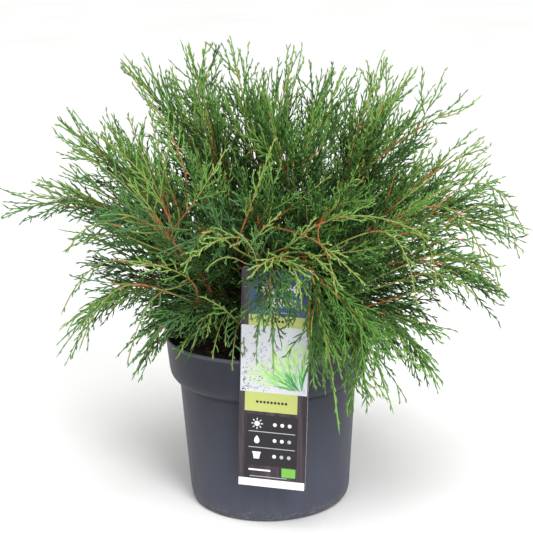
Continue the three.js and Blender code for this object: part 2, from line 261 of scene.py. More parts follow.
# axes of the camera: level direction tipped down by the pitch, then turned about the view by the roll
def placeCamera(view):
    pitch, turn, roll = (math.radians(view[key]) for key in ("pitchDown", "turnRight", "roll"))
    level = np.array([math.sin(turn), math.cos(turn), 0])
    right = np.array([math.cos(turn), -math.sin(turn), 0])
    forward = level * math.cos(pitch) - up * math.sin(pitch)
    above = level * math.sin(pitch) + up * math.cos(pitch)
    axes = np.stack([
        right * math.cos(roll) + above * math.sin(roll),
        above * math.cos(roll) - right * math.sin(roll),
        -forward,
    ], 1)
    data = bpy.data.cameras.new("camera")
    data.lens = view["lens"]
    data.sensor_width = view["sensor"]
    data.clip_end = view["clipEnd"]
    camera = bpy.data.objects.new("camera", data)
    bpy.context.scene.collection.objects.link(camera)
    camera.matrix_world = Matrix(np.vstack([np.c_[axes, view["place"]], [0, 0, 0, 1]]).tolist())
    bpy.context.scene.camera = camera


placeCamera(cameraView)
bpy.context.scene.view_settings.view_transform = "Standard"  # colours as a plain camera gives them

# soft studio light: large panels round a white floor under an even white surround
studio = {
    "panels": [  # place in metres, width in metres, watts
        {"name": "keyPanel", "place": (0.9, -2.2, 2.0), "width": 1.0, "watts": 38},
        {"name": "frontPanel", "place": (1.25, -2.3, 0.6), "width": 1.2, "watts": 24},
    ],
    "aim": (0.0, 0.0, 0.2),
    "ceiling": {"strength": 2.15, "spread": 45, "from": (0.0, -0.4, 1.0)},  # wide, its spread in degrees
    "surround": 0.44,
    "floorRadius": 14.0,  # metres
    "floorRings": 24,
    "floorSides": 96,
    "floorColour": "#f4f4f2",
}


# hangs a lamp so that its own axis points along a direction
def hangLamp(data, axis, towards, place=(0, 0, 0)):
    lamp = bpy.data.objects.new(data.name, data)
    lamp.location = place
    lamp.rotation_mode = "QUATERNION"
    lamp.rotation_quaternion = Vector(towards).to_track_quat(axis, "Y")
    bpy.context.scene.collection.objects.link(lamp)


# square panels that shine from their places to the aim, a lit ceiling and an even surround
def lightStudio(plan):
    for row in plan["panels"]:
        data = bpy.data.lights.new(row["name"], "AREA")
        data.shape = "SQUARE"
        data.size = row["width"]
        data.energy = row["watts"]
        hangLamp(data, "-Z", Vector(plan["aim"]) - Vector(row["place"]), row["place"])
    data = bpy.data.lights.new("ceiling", "SUN")
    data.energy = plan["ceiling"]["strength"]
    data.angle = math.radians(plan["ceiling"]["spread"])
    hangLamp(data, "Z", plan["ceiling"]["from"])
    world = bpy.data.worlds.new("surround")
    world.use_nodes = True
    backdrop = world.node_tree.nodes["Background"]
    fillInputs(world.node_tree, backdrop, {"Color": (1, 1, 1, 1), "Strength": plan["surround"]})
    bpy.context.scene.world = world


# matt painted board: white, with faint cloudy unevenness and a fine roller grain
def floorFinish(plan):
    material, tree, shader, place = startMaterial("paintedBoard")
    noise = addNode(tree, "ShaderNodeTexNoise", {"Vector": place, "Scale": 1.5, "Detail": 2.0})
    cloud = noise.outputs["Fac"]
    grain = addNode(tree, "ShaderNodeTexNoise", {"Vector": place, "Scale": 900.0})
    dressSurface(tree, shader, (cloud, linearColour(plan["floorColour"]), linearColour("#ffffff")),
                 (cloud, 0.8, 0.95), (grain.outputs["Fac"], 0.05, 0.0004))
    return material


# a flat disc: rings round one middle corner, whose radius grows as the square of their number
def layFloor(plan):
    rings, sides = plan["floorRings"], plan["floorSides"]
    radius = plan["floorRadius"] * 1000 * (np.arange(1, rings + 1) / rings) ** 2
    rim = roundAxis(radius[:, None], fullTurn(sides), 0)
    points = np.concatenate([rim.reshape(-1, 3), [[0, 0, 0]]])
    middle = ringFan(rings * sides, 0, sides)
    floor = makePiece("floor", points, gridQuads(rings, sides)[:, ::-1], middle, floorFinish(plan), "pot")
    del floor["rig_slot"]
    floor["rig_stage"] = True


lightStudio(studio)
layFloor(studio)
print("camera, light and floor set")

# nursery pot: a tapered wall under a wide collar, and a flat foot with drain notches
potShape = {
    "outside": [  # radius, height, and how far the corner is rounded off
        (0, 0, 0), (71, 0, 1.2), (74.5, 3, 1.6), (76, 9, 3), (83, 120, 0.8), (87.5, 122, 1.6), (91, 127, 2.4),
        (92, 132, 2.4), (94.3, 159.2, 0.9), (95, 161, 0.7), (94.5, 163, 0.5), (93.4, 163, 0.4),
    ],
    "inside": [
        (93.1, 160.8, 0.8), (90.4, 133, 3), (81.4, 122, 3), (74.4, 9, 2), (67, 6, 1.5), (62, 2.5, 1.5),
        (0, 2.5, 0),
    ],
    "roundSteps": 6,  # points on each rounded corner
    "sides": 240,
    "longestStep": 6.0,  # mm between rings on a straight stretch
    "notches": 3,
    "notchAngle": -16.5,
    "notchHalf": 9.6,  # degrees either side, which is 25 mm across at the foot
    "notchSoft": 0.9,
    "notchHeight": 4.2,
    "notchDepth": 65.0,
    "waver": 0.22,  # mm by which the thin wall is out of round, coming in above the foot
    "waverFrom": 10.0,
    "waverOver": 100.0,
    "slot": "pot",
}
# of these, the crease colour is painted shade, the lip colour a painted highlight, and the foot colour, laid
# on towards the foot, a painted reflection of the pale floor
potColours = {"wall": "#212430", "warm": "#3a3839", "dust": "#7d746c", "deep": "#1f222e", "foot": "#474b5a",
              "creaseShade": "#101117", "lipHighlight": "#5a5e6d", "crease": 0.1195}  # the crease's height in metres


# moulded polypropylene, anthracite: smooth and half matt, greyer and browner where hands and benches have
# rubbed it, and scuffed pale round the foot
def potFinish(colours):
    material, tree, shader, place = startMaterial("mouldedPolypropylene")
    height = addNode(tree, "ShaderNodeSeparateXYZ", {0: place}).outputs["Z"]
    # 70 mm clouds, upright streaks 11 mm wide and specks of 3 mm
    broad = addNode(tree, "ShaderNodeTexNoise", {"Vector": place, "Scale": 14.0, "Detail": 3.0})
    tall = addNode(tree, "ShaderNodeMapping", {"Vector": place, "Scale": (1, 1, 0.15)})
    streak = addNode(tree, "ShaderNodeTexNoise", {"Vector": tall.outputs[0], "Scale": 90.0, "Detail": 4.0})
    speck = addNode(tree, "ShaderNodeTexNoise", {"Vector": place, "Scale": 330.0, "Detail": 5.0,
                                                 "Roughness": 0.7})
    cloud = addNode(tree, "ShaderNodeMapRange", {"Value": broad.outputs["Fac"], "From Min": 0.35,
                                                 "From Max": 0.7})
    # painted light: the wall is paler towards the foot, a painted reflection of the pale floor, and darker up
    # towards the collar, painted shade under the foliage
    pale = addNode(tree, "ShaderNodeMapRange", {"Value": height, "From Min": 0.14, "From Max": 0.0,
                                                "To Max": 0.9})
    # painted shade darkens the crease under the collar, and a painted highlight lightens the lip
    fromCrease = addNode(tree, "ShaderNodeMath", {0: height, 1: colours["crease"]}, operation="SUBTRACT")
    fromCrease = addNode(tree, "ShaderNodeMath", {0: fromCrease.outputs[0]}, operation="ABSOLUTE")
    creaseShade = addNode(tree, "ShaderNodeMapRange", {"Value": fromCrease.outputs[0], "From Min": 0.0034,
                                                "From Max": 0.0008, "To Max": 0.85},
                   interpolation_type="SMOOTHSTEP")
    # painted highlight: a pale line along the top of the lip
    lipHighlight = addNode(tree, "ShaderNodeMapRange", {"Value": height, "From Min": 0.1592, "From Max": 0.1612,
                                               "To Max": 0.55})
    rubbed = addNode(tree, "ShaderNodeMapRange", {"Value": streak.outputs["Fac"], "From Min": 0.48,
                                                  "From Max": 0.8, "To Max": 0.34})
    # scuffs: specks that come in towards the foot
    low = addNode(tree, "ShaderNodeMapRange", {"Value": height, "From Min": 0.017, "From Max": 0.001},
                  interpolation_type="SMOOTHSTEP")
    marks = addNode(tree, "ShaderNodeMapRange", {"Value": speck.outputs["Fac"], "From Min": 0.5,
                                                 "From Max": 0.66})
    scuff = addNode(tree, "ShaderNodeMath", {0: low.outputs[0], 1: marks.outputs[0]}, operation="MULTIPLY")
    # layers of colour, each laid over the last by its own share
    body = linearColour(colours["deep"])
    for share, tint in ((cloud, "wall"), (pale, "foot"), (creaseShade, "creaseShade"), (lipHighlight, "lipHighlight"), (rubbed, "warm"),
                        (scuff, "dust")):
        layer = addNode(tree, "ShaderNodeMix", {0: share.outputs[0], 6: body, 7: linearColour(colours[tint])},
                        data_type="RGBA")
        body = layer.outputs[2]
    gloss = addNode(tree, "ShaderNodeMapRange", {"Value": streak.outputs["Fac"], "To Min": 0.4,
                                                 "To Max": 0.56})
    matt = addNode(tree, "ShaderNodeMath", {0: scuff.outputs[0], 1: 0.3, 2: gloss.outputs[0]},
                   operation="MULTIPLY_ADD")
    fine = addNode(tree, "ShaderNodeBump", {"Height": speck.outputs["Fac"], "Strength": 0.12,
                                            "Distance": 0.0003})
    waves = addNode(tree, "ShaderNodeBump", {"Height": broad.outputs["Fac"], "Strength": 0.25,
                                             "Distance": 0.004, "Normal": fine.outputs[0]})
    fillInputs(tree, shader, {"Base Color": body, "Roughness": matt.outputs[0], "Normal": waves.outputs[0],
                              "IOR": 1.49, "Specular IOR Level": 0.32})
    return material


# the profile turned about the pot's axis: x = r cos a, y = r sin a, with the foot raised inside each notch
# and the wall out of round by sin(2 a + 0.7) + sin(3 a + height / 50) / 2
def makePot(shape):
    profile = roundProfile(shape["outside"] + shape["inside"], shape["roundSteps"])
    gap = np.linalg.norm(np.diff(profile, axis=0), axis=1)
    parts = np.maximum(1, np.ceil(gap / shape["longestStep"])).astype(int)
    row = np.repeat(np.arange(len(gap)), parts)
    step = np.arange(len(row)) - np.repeat(np.cumsum(parts) - parts, parts)
    share = (step / parts[row])[:, None]
    profile = np.concatenate([profile[row] + share * np.diff(profile, axis=0)[row], profile[-1:]])[1:-1]
    angle = fullTurn(shape["sides"])
    spacing = 360 / shape["notches"]
    fromNotch = (np.degrees(angle) - shape["notchAngle"] + spacing / 2) % spacing - spacing / 2
    inNotch = np.clip((shape["notchHalf"] - abs(fromNotch)) / shape["notchSoft"] + 0.5, 0, 1)
    radius, height = (np.repeat(profile[:, i:i + 1], len(angle), 1) for i in (0, 1))
    atFoot = (height < shape["notchHeight"]) & (radius > shape["notchDepth"])
    atFoot &= np.arange(len(profile))[:, None] < len(profile) / 2
    height = np.where(atFoot, np.maximum(height, shape["notchHeight"] * inNotch), height)
    sway = np.sin(2 * angle + 0.7) + 0.5 * np.sin(3 * angle + height * 0.02)
    sway = sway * np.clip((height - shape["waverFrom"]) / shape["waverOver"], 0, 1)
    rings = roundAxis(radius + shape["waver"] * sway, angle, height)
    makePiece("nurseryPot", *closeRings(rings, 0, shape["inside"][-1][1]), potFinish(potColours),
              shape["slot"], ["pot"])


makePot(potShape)
print("pot made")

# potting soil: a shallow mound of dark peat with bark chips and fibres lying in it
soilShape = {
    "edgeRadius": 91.1,
    "wallFoot": [(61.5, 2.85), (66.5, 6.35), (73.9, 9.5), (80.9, 122.3), (89.9, 133.4)],
    "edgeHeight": 148.6,
    "rise": 5.0,
    "flatRadius": 16.0,
    "lumps": 1.5,  # mm
    "rings": 70,
    "sides": 220,
    "slot": "soil",
}
# flakes that lie on it, in mm, or in shares of their length
chipShape = {
    "reach": 88.0,  # from the middle
    "height": 0.5,
    "wide": (0.35, 0.7),
    "thick": (0.1, 0.3),
    "uneven": (0.6, 1.2),
    "tip": 0.35,
    "barkCount": 700,
    "barkLengths": (1.6, 6.0),
    "woodCount": 77,
    "woodLengths": (2.0, 5.0),
}


# height of the soil at a radius: edge + rise sin(share pi / 2), the share running from the wall to the flat
def soilHeight(radius):
    s = soilShape
    wall = s["wallFoot"][-1][0]
    share = np.clip((wall - radius) / (wall - s["flatRadius"]), 0, 1)
    return s["edgeHeight"] + s["rise"] * np.sin(share * np.pi / 2)


# a bumpy field over x and y: sums of sines at several widths, each turned against the last
def lumpiness(x, y, widths=(23.0, 11.0, 6.1, 3.7, 2.3)):
    total = 0
    for i, width in enumerate(widths):
        turn = 1.1 + 2.4 * i
        u = (x * math.cos(turn) + y * math.sin(turn)) * 2 * math.pi / width
        v = (y * math.cos(turn) - x * math.sin(turn)) * 2 * math.pi / width
        total = total + np.sin(u + 1.3 * np.sin(v * 0.7)) * np.sin(v + 1.7 * np.sin(u * 0.6)) / (1 + 0.5 * i)
    return total / 2


# peat and composted bark: near black and brown grains a few tenths of a millimetre to 3 mm wide, fully matt
def earthFinish(name, dark, light, grainWidth):
    material, tree, shader, place = startMaterial(name)
    grain = addNode(tree, "ShaderNodeTexVoronoi", {"Vector": place, "Scale": 1000 / grainWidth,
                                                   "Randomness": 1.0})
    noise = addNode(tree, "ShaderNodeTexNoise", {"Vector": place, "Scale": 260.0, "Detail": 6.0,
                                                 "Roughness": 0.7})
    mottle = noise.outputs["Fac"]
    share = addNode(tree, "ShaderNodeMapRange", {"Value": mottle, "From Min": 0.35, "From Max": 0.72})
    dressSurface(tree, shader, (share.outputs[0], linearColour(dark), linearColour(light)),
                 (mottle, 0.82, 1.0), (grain.outputs["Distance"], 0.8, 0.001))
    return material


# a lump turned about the axis: flat foot, tapered wall, and a top whose height is soilHeight + lumps
def makeSoil(shape):
    top = lerp(shape["edgeRadius"], 0.5, np.arange(shape["rings"]) / (shape["rings"] - 1))
    wall = np.array(shape["wallFoot"])
    radius = np.concatenate([wall[:, 0], top])[:, None]
    height = np.concatenate([wall[:, 1], soilHeight(top)])[:, None]
    rings = roundAxis(radius, fullTurn(shape["sides"]), height)
    lumps = shape["lumps"] * (lumpiness(rings[len(wall):, :, 0], rings[len(wall):, :, 1]) - 0.4)
    rings[len(wall):, :, 2] += lumps
    makePiece("pottingSoil", *closeRings(rings, wall[0, 1], soilHeight(0) - 0.4),
              earthFinish("peat", "#17110d", "#3b2a1d", 1.6), shape["slot"], ["soil"])


# flakes: boxes of eight corners, each pulled about, half sunk in the soil and lying at all angles
def scatterChips(name, count, lengths, material):
    chip = chipShape
    reach = chip["reach"] * np.sqrt(rng.random(count))
    centre = roundAxis(reach, 2 * np.pi * rng.random(count), soilHeight(reach) + chip["height"])
    size = np.stack([rng.uniform(*span, count) for span in (lengths, chip["wide"], chip["thick"])], 1)
    size[:, 1:] *= size[:, :1]
    corner = np.array([[x, y, z] for z in (-1, 1) for y in (-1, 1) for x in (-1, 1)]) / 2
    local = corner * size[:, None] * rng.uniform(*chip["uneven"], (count, 8, 3))
    turn, tip = 2 * np.pi * rng.random(count), rng.normal(0, chip["tip"], count)
    ahead = np.stack([np.cos(turn) * np.cos(tip), np.sin(turn) * np.cos(tip), np.sin(tip)], 1)
    side = unit(np.cross(up, ahead))
    axes = np.stack([ahead, side, np.cross(ahead, side)], 1)
    points = centre[:, None] + local @ axes
    faces = np.array([[0, 2, 3, 1], [4, 5, 7, 6], [0, 1, 5, 4], [2, 6, 7, 3], [1, 3, 7, 5], [0, 4, 6, 2]])
    quads = (np.arange(count)[:, None, None] * 8 + faces).reshape(-1, 4)
    makePiece(name, points.reshape(-1, 3), quads, [], material, soilShape["slot"], smooth=False)


makeSoil(soilShape)
scatterChips("barkChips", chipShape["barkCount"], chipShape["barkLengths"],
             earthFinish("pineBarkChips", "#2f2016", "#63452a", 2.4))
scatterChips("paleChips", chipShape["woodCount"], chipShape["woodLengths"],
             earthFinish("freshWoodChips", "#7a5c38", "#a58250", 2.0))
print("soil made")

# hooked card label: a white plastic card, printed with panels, plain symbols and a fan of blades
labelShape = {
    "turn": -12.0,
    "lean": 2.7,  # degrees to the right, about the tongue
    "centre": 26.5,
    "width": 61.0,
    "bottom": 45.0,
    "top": 248.0,
    "front": -96.15,
    "thick": 0.8,
    "cornerRadius": 2.5,
    "edgeRadius": 0.38,  # the thin edge of the bridge and the tongue
    "hole": (26.5, 239.0, 3.0),  # across, up, radius
    "holeMargin": 0.4,  # white round the hole
    "tongueWidth": 16.0,
    "bridgeFoot": 163.35,
    "back": -84.0,
    "tongueTip": 153.35,
    "printInset": 0.02,
    "sheetRadius": 2,
    "panelRadius": 0.4,
    "sunk": 0.1,  # mm that one plate goes into the next
    "ink": 0.06,  # mm that a layer stands out: more than real ink, so that the layers stay apart
    "slot": "label",
}
# printed panels: colour, left and right edge from the card's middle, bottom and top
labelPanels = [
    ("slate", -23.5, 29.8, 206, 247.3),
    ("lime", -23.5, 29.8, 196, 206),
    ("stone", -29.8, 29.8, 135, 196),
    ("lime", -25.5, 21.5, 117, 135),
    ("dusk", -23.5, 22.5, 66, 114),
    ("meadow", 9, 21.5, 56.5, 65),
    ("chalk", -29.8, 29.8, 45.7, 53),
]
# the picture on the stone panel, in mm from the card's middle and up from the floor. Its pebbles and dark
# grit have a count, a field from left to right and low to high, how far they crowd left and down, and radii
pictureDots = {
    "pebble": (170, (-27, 27), (138.5, 192.5), (1.0, 1.0), (0.6, 1.9)),
    "flint": (60, (-28, -4), (136.5, 158.5), (1.6, 1.4), (0.35, 0.9)),
}
pictureBlades = {
    "count": 190,
    "foot": (25, 138),
    "fan": (42, 35.2),  # how far out they begin, to the left and up
    "turns": (-12, 82),  # degrees from upright to the left
    "lengths": (7, 15),
    "right": 26,
    "top": 192,
    "inks": ("leafDark", "leafMid", "leafLight"),  # from the foot outwards
}
# plain marks on the other panels
labelMarks = {
    "sprigs": ((33, 5, 229.5), (27, 3, 217.5)),  # length, tilt in degrees, rise
    "sprigMiddle": 2,
    "leafPairs": 9,
    "leafAngle": 58,
    "leafLength": 6.4,
    "leafShrink": 0.3,  # from pair to pair
    "beads": ((6, 201), (9, 126)),  # how many, rise
    "beadMiddle": -1.5,
    "beadStep": 3.2,
    "beadRadius": 1.2,
    "signMiddle": -14,
    "sunRise": 105.5,
    "sunRadius": 2.4,
    "sunRays": 8,
    "rayReach": 4.2,
    "rayLength": 1.9,
    "dropRise": 90,
    "dropSize": 3.0,
    "potRise": 75.5,
    "potSize": 3.3,
    "dotRises": ((105.5, 3), (90.5, 2), (75.5, 1)),  # of three dots, how many are pale
    "firstDot": 2,
    "dotStep": 6.6,
    "dotRadius": 1.7,
    # ink, length, thickness as a share of the bar's, middle, rise
    "lines": (("pebble", 34, 0.12, 3, 209), ("pebble", 42, 0.1, -0.5, 98), ("pebble", 42, 0.1, -0.5, 83),
              ("chalk", 20, 0.5, -11, 61.5), ("pebble", 34, 0.12, -3, 55.3)),
}
inkColours = {
    "slate": "#3b557a", "lime": "#b1b969", "stone": "#c6c8ce", "dusk": "#1e1a1f", "chalk": "#e6e6e2",
    "leafLight": "#b9dd8e", "leafMid": "#8fcf74", "leafDark": "#4aa058", "pebble": "#aeb1bb",
    "flint": "#5d5f6b", "meadow": "#6dae45",
}


# offset ink under gloss varnish on polypropylene card: even, with a faint print mottle of about 1 mm
def inkFinish(name, code, rough=0.3):
    material, tree, shader, place = startMaterial(name)
    noise = addNode(tree, "ShaderNodeTexNoise", {"Vector": place, "Scale": 700.0, "Detail": 3.0})
    mottle = noise.outputs["Fac"]
    base = np.array(linearColour(code))[:3]
    dressSurface(tree, shader, (mottle, (*(base * 0.9), 1), (*np.minimum(base * 1.1, 1), 1)),
                 (mottle, rough - 0.06, rough + 0.08), (mottle, 0.04, 0.0002), {"Specular IOR Level": 0.35})
    return material


# printed weathered boards: upright grain 1 to 2 mm wide, wavering, in brown violet and pale grey
def boardPrintFinish():
    material, tree, shader, place = startMaterial("boardPrint")
    tall = addNode(tree, "ShaderNodeMapping", {"Vector": place, "Scale": (1, 1, 0.05)})
    noise = addNode(tree, "ShaderNodeTexNoise", {"Vector": tall.outputs[0], "Scale": 160.0, "Detail": 5.0,
                                                 "Roughness": 0.65, "Distortion": 0.6})
    boards = noise.outputs["Fac"]
    share = addNode(tree, "ShaderNodeMapRange", {"Value": boards, "From Min": 0.36, "From Max": 0.68})
    dressSurface(tree, shader, (share.outputs[0], linearColour("#1a151b"), linearColour("#4d4149")),
                 (boards, 0.27, 0.4), (boards, 0.05, 0.0002), {"Specular IOR Level": 0.35})
    return material


# label points (across, in or out, up): leaned about the tongue's root, then turned about the pot's axis
def turnLabel(points, lean=True):
    s = labelShape
    turn, tilt = math.radians(s["turn"]), math.radians(s["lean"]) * lean
    x, y, z = points[..., 0] - s["centre"], points[..., 1], points[..., 2] - s["bridgeFoot"]
    x, z = (x * math.cos(tilt) + z * math.sin(tilt) + s["centre"],
            z * math.cos(tilt) - x * math.sin(tilt) + s["bridgeFoot"])
    return np.stack([x * math.cos(turn) - y * math.sin(turn), x * math.sin(turn) + y * math.cos(turn), z], -1)


# outline of a rectangle with rounded corners: a quarter circle at each corner, counter-clockwise
def roundedOutline(left, right, low, high, radius, steps=7):
    a = np.linspace(0, np.pi / 2, steps)[None, :] + np.pi / 2 * np.arange(4)[:, None]
    middle = np.array([[right - radius, high - radius], [left + radius, high - radius],
                       [left + radius, low + radius], [right - radius, low + radius]])
    arcs = middle[:, None] + radius * np.stack([np.cos(a), np.sin(a)], -1)
    return arcs.reshape(-1, 2)


# a flat plate between two depths, all round a hole: its outline is drawn in to the hole's rim, row by row
def platePunched(outline, hole, near, far):
    away = unit(outline - np.array(hole[:2]))
    rim = np.array(hole[:2]) + hole[2] * away
    rows = [(rim, near), (outline, near), (outline, far), (rim, far)]
    points = np.stack([np.insert(flat, 1, depth, axis=1) for flat, depth in rows])
    quads = gridQuads(4, len(outline), wrapRows=True)[:, ::-1]
    return turnLabel(points.reshape(-1, 3)), quads, np.zeros((0, 3), int)


# a flat plate with a star-shaped outline: a fan in front, a fan behind and a wall between
def plateSolid(outline, near, far, lean=True):
    count = len(outline)
    middle = outline.mean(0)
    front = np.insert(outline, 1, near, axis=1)
    rear = front + [0, far - near, 0]
    centres = np.array([[middle[0], near, middle[1]], [middle[0], far, middle[1]]])
    k = np.arange(count)
    n = (k + 1) % count
    wall = np.stack([k, k + count, n + count, n], 1)
    fans = np.concatenate([np.stack([np.full(count, 2 * count), k, n], 1),
                           np.stack([np.full(count, 2 * count + 1), n + count, k + count], 1)])
    return turnLabel(np.concatenate([front, rear, centres]), lean), wall, fans


# places a shape drawn about its own middle: scaled, turned and moved
def placeShape(shape, size, turn, across, rise):
    c, s = math.cos(math.radians(turn)), math.sin(math.radians(turn))
    return shape @ np.array([[c, s], [-s, c]]) * size + [across, rise]


# outlines to print with: a dot, a drop and a pot two wide or so, and a blade and a bar one long
circle = roundAxis(1, fullTurn(28), 0)[:, :2]
bladeSide = np.sin(np.linspace(0, np.pi, 9)) ** 0.8 * 0.11
bladeRise = np.linspace(0, 1, 9)
bladeHalf = np.stack([bladeSide, bladeRise], 1)
blade = np.concatenate([bladeHalf[1:], bladeHalf[-2::-1] * [-1, 1]])
dropTurn = np.linspace(-np.pi, np.pi, 25)[:-1]
drop = np.stack([np.sin(dropTurn) * np.cos(dropTurn / 2) ** 0.8, -np.cos(dropTurn) * 1.25 + 0.15], 1)
bar = roundedOutline(-0.5, 0.5, -0.08, 0.08, 0.04)
potHalf = np.array([[0.75, -1], [1, 0.55], [1.15, 0.55], [1.15, 1]])
potSign = np.concatenate([potHalf, potHalf[::-1] * [-1, 1]])


# the card: a punched plate, a bridge over the rim and a tongue behind it
def makeCard(s):
    middle, half, tongue = s["centre"], s["width"] / 2, s["tongueWidth"] / 2
    far, back, bridgeTop = s["front"] + s["thick"], s["back"], s["bridgeFoot"] + s["thick"]
    card = roundedOutline(middle - half, middle + half, s["bottom"], s["top"], s["cornerRadius"])
    bridge, hook = (roundedOutline(middle - tongue, middle + tongue, foot, bridgeTop, s["edgeRadius"])
                    for foot in (s["bridgeFoot"], s["tongueTip"]))
    lots = [
        platePunched(card, s["hole"], s["front"], far),
        plateSolid(bridge, far - s["sunk"], back, lean=False),
        plateSolid(hook, back - s["thick"], back, lean=False),
    ]
    makePiece("labelCard", *joinLots(lots), inkFinish("whiteCard", "#e9e8e3", 0.35), s["slot"], ["label"],
              smooth=False)


# the printed picture: dots in a field, and feathery blades in a fan, each placed by chance
def printPicture(stamp, middle):
    for ink, (count, sideways, upwards, crowd, radii) in pictureDots.items():
        for i in range(count):
            across = middle + lerp(*sideways, rng.random() ** crowd[0])
            rise = lerp(*upwards, rng.random() ** crowd[1])
            stamp(ink, placeShape(circle * [1, 0.6], rng.uniform(*radii), 180 * rng.random(), across, rise))
    fan = pictureBlades
    for i in range(fan["count"]):
        out = rng.random() ** 0.8  # from the lower right to the far ends
        turned = math.radians(lerp(*fan["turns"], rng.random()))
        across = middle + min(fan["foot"][0] - fan["fan"][0] * out * math.sin(turned), fan["right"])
        rise = fan["foot"][1] + fan["fan"][1] * out * math.cos(turned)
        lean = math.degrees(turned) + rng.normal(0, 13)
        steep = max(0.2, math.cos(math.radians(lean)))
        length = min(rng.uniform(*fan["lengths"]), (fan["top"] - rise) / steep)
        ink = fan["inks"][int(np.clip(out * 4 + rng.normal(0, 0.6), 0, 2))]
        stamp(ink, placeShape(blade * [0.45, 1], length, max(lean, -8), across, rise), 4 + i % 3)


# the plain marks: sprigs that lie across with paired leaves, beads, a sun, a drop and a pot with dots, lines
def printMarks(stamp, middle):
    marks = labelMarks
    for long, tilt, rise in marks["sprigs"]:
        slope, root = math.radians(tilt), middle + marks["sprigMiddle"]
        stamp("chalk", placeShape(bar * [1, 0.3], long, tilt, root, rise))
        for i in range(marks["leafPairs"]):
            out = (i / (marks["leafPairs"] - 1) - 0.46) * long * 0.94
            foot = root + out * math.cos(slope), rise + out * math.sin(slope)
            size = marks["leafLength"] - marks["leafShrink"] * i
            for hand in (-1, 1):
                turn = tilt - 90 + hand * marks["leafAngle"]
                stamp("chalk", placeShape(blade * [1.7, 1], size, turn, *foot))
    for count, rise in marks["beads"]:
        for i in range(count):
            across = middle + marks["beadMiddle"] + marks["beadStep"] * (i - (count - 1) / 2)
            stamp("dusk", placeShape(circle, marks["beadRadius"], 0, across, rise))
    for rise, pale in marks["dotRises"]:
        for i in range(3):
            across = middle + marks["firstDot"] + marks["dotStep"] * i
            stamp("chalk" if i < pale else "pebble",
                  placeShape(circle, marks["dotRadius"], 0, across, rise))
    sign = middle + marks["signMiddle"]
    stamp("chalk", placeShape(circle, marks["sunRadius"], 0, sign, marks["sunRise"]))
    for angle in np.degrees(fullTurn(marks["sunRays"])):
        ray = placeShape(np.array([[0, 1]]), marks["rayReach"], angle, sign, marks["sunRise"])[0]
        stamp("chalk", placeShape(bar * [1, 2.4], marks["rayLength"], angle + 90, *ray))
    stamp("chalk", placeShape(drop, marks["dropSize"], 0, sign, marks["dropRise"]))
    stamp("chalk", placeShape(potSign, marks["potSize"], 0, sign, marks["potRise"]))
    for ink, long, thickness, across, rise in marks["lines"]:
        stamp(ink, placeShape(bar * [1, thickness], long, 0, middle + across, rise))


# card, printed boards, panels and marks, all in thin plates: where more ink lies it stands further out
def makeLabel(s):
    makeCard(s)
    middle, near = s["centre"], s["front"]
    half = s["width"] / 2 - s["printInset"]
    low, high = s["bottom"] + s["printInset"], s["top"] - s["printInset"]
    sheet = roundedOutline(middle - half, middle + half, low, high, s["sheetRadius"])
    hole = (*s["hole"][:2], s["hole"][2] + s["holeMargin"])
    makePiece("labelBoards", *platePunched(sheet, hole, near - s["ink"], near + s["sunk"]),
              boardPrintFinish(), s["slot"], smooth=False)
    inks = {name: [] for name in inkColours}
    panelFace = near - 2 * s["ink"]
    for ink, left, right, low, high in labelPanels:
        outline = roundedOutline(middle + left, middle + right, low, high, s["panelRadius"])
        punched = low < s["hole"][1] < high
        inks[ink].append(platePunched(outline, hole, panelFace, near) if punched
                         else plateSolid(outline, panelFace, near))

    # prints an outline in an ink, on so many layers
    def stamp(ink, outline, layers=3):
        inks[ink].append(plateSolid(outline, near - layers * s["ink"], near))

    printPicture(stamp, middle)
    printMarks(stamp, middle)
    for ink, lots in inks.items():
        makePiece("label" + ink[0].upper() + ink[1:], *joinLots(lots),
                  inkFinish(ink + "Ink", inkColours[ink]), s["slot"], smooth=False)


makeLabel(labelShape)
print("label made")

# wood: the trunk and the boughs, on the source's numbers
trunkShape = {
    "flareRadius": 13,
    "neckRadius": 8.5,
    "topRadius": 6,
    "height": 56,
    "foot": 154.35,
    "lean": (2, 1),
    "sunk": 3,  # mm that its bark goes on into the soil
    "flare": 9,  # how fast the flare dies away
    "rootSwell": 0.22,
    "ridges": 17,
    "sides": 84,
    "rings": 90,
}
tierHeight = {"low": 12, "middle": 27, "high": 40, "crown": 50}
limbShape = {
    "rootRadius": 3.0,
    "endRadius": 2.0,
    "arch": 0.06,
    "stemRoot": 1.5,
    "stemTip": 0.6,
    "seat": 0.35,
    "ridges": 7,
    "sides": 18,
    "steps": 64,
    "pastEnd": 1.2,  # mm that the bark's pointed end passes the bough's
}
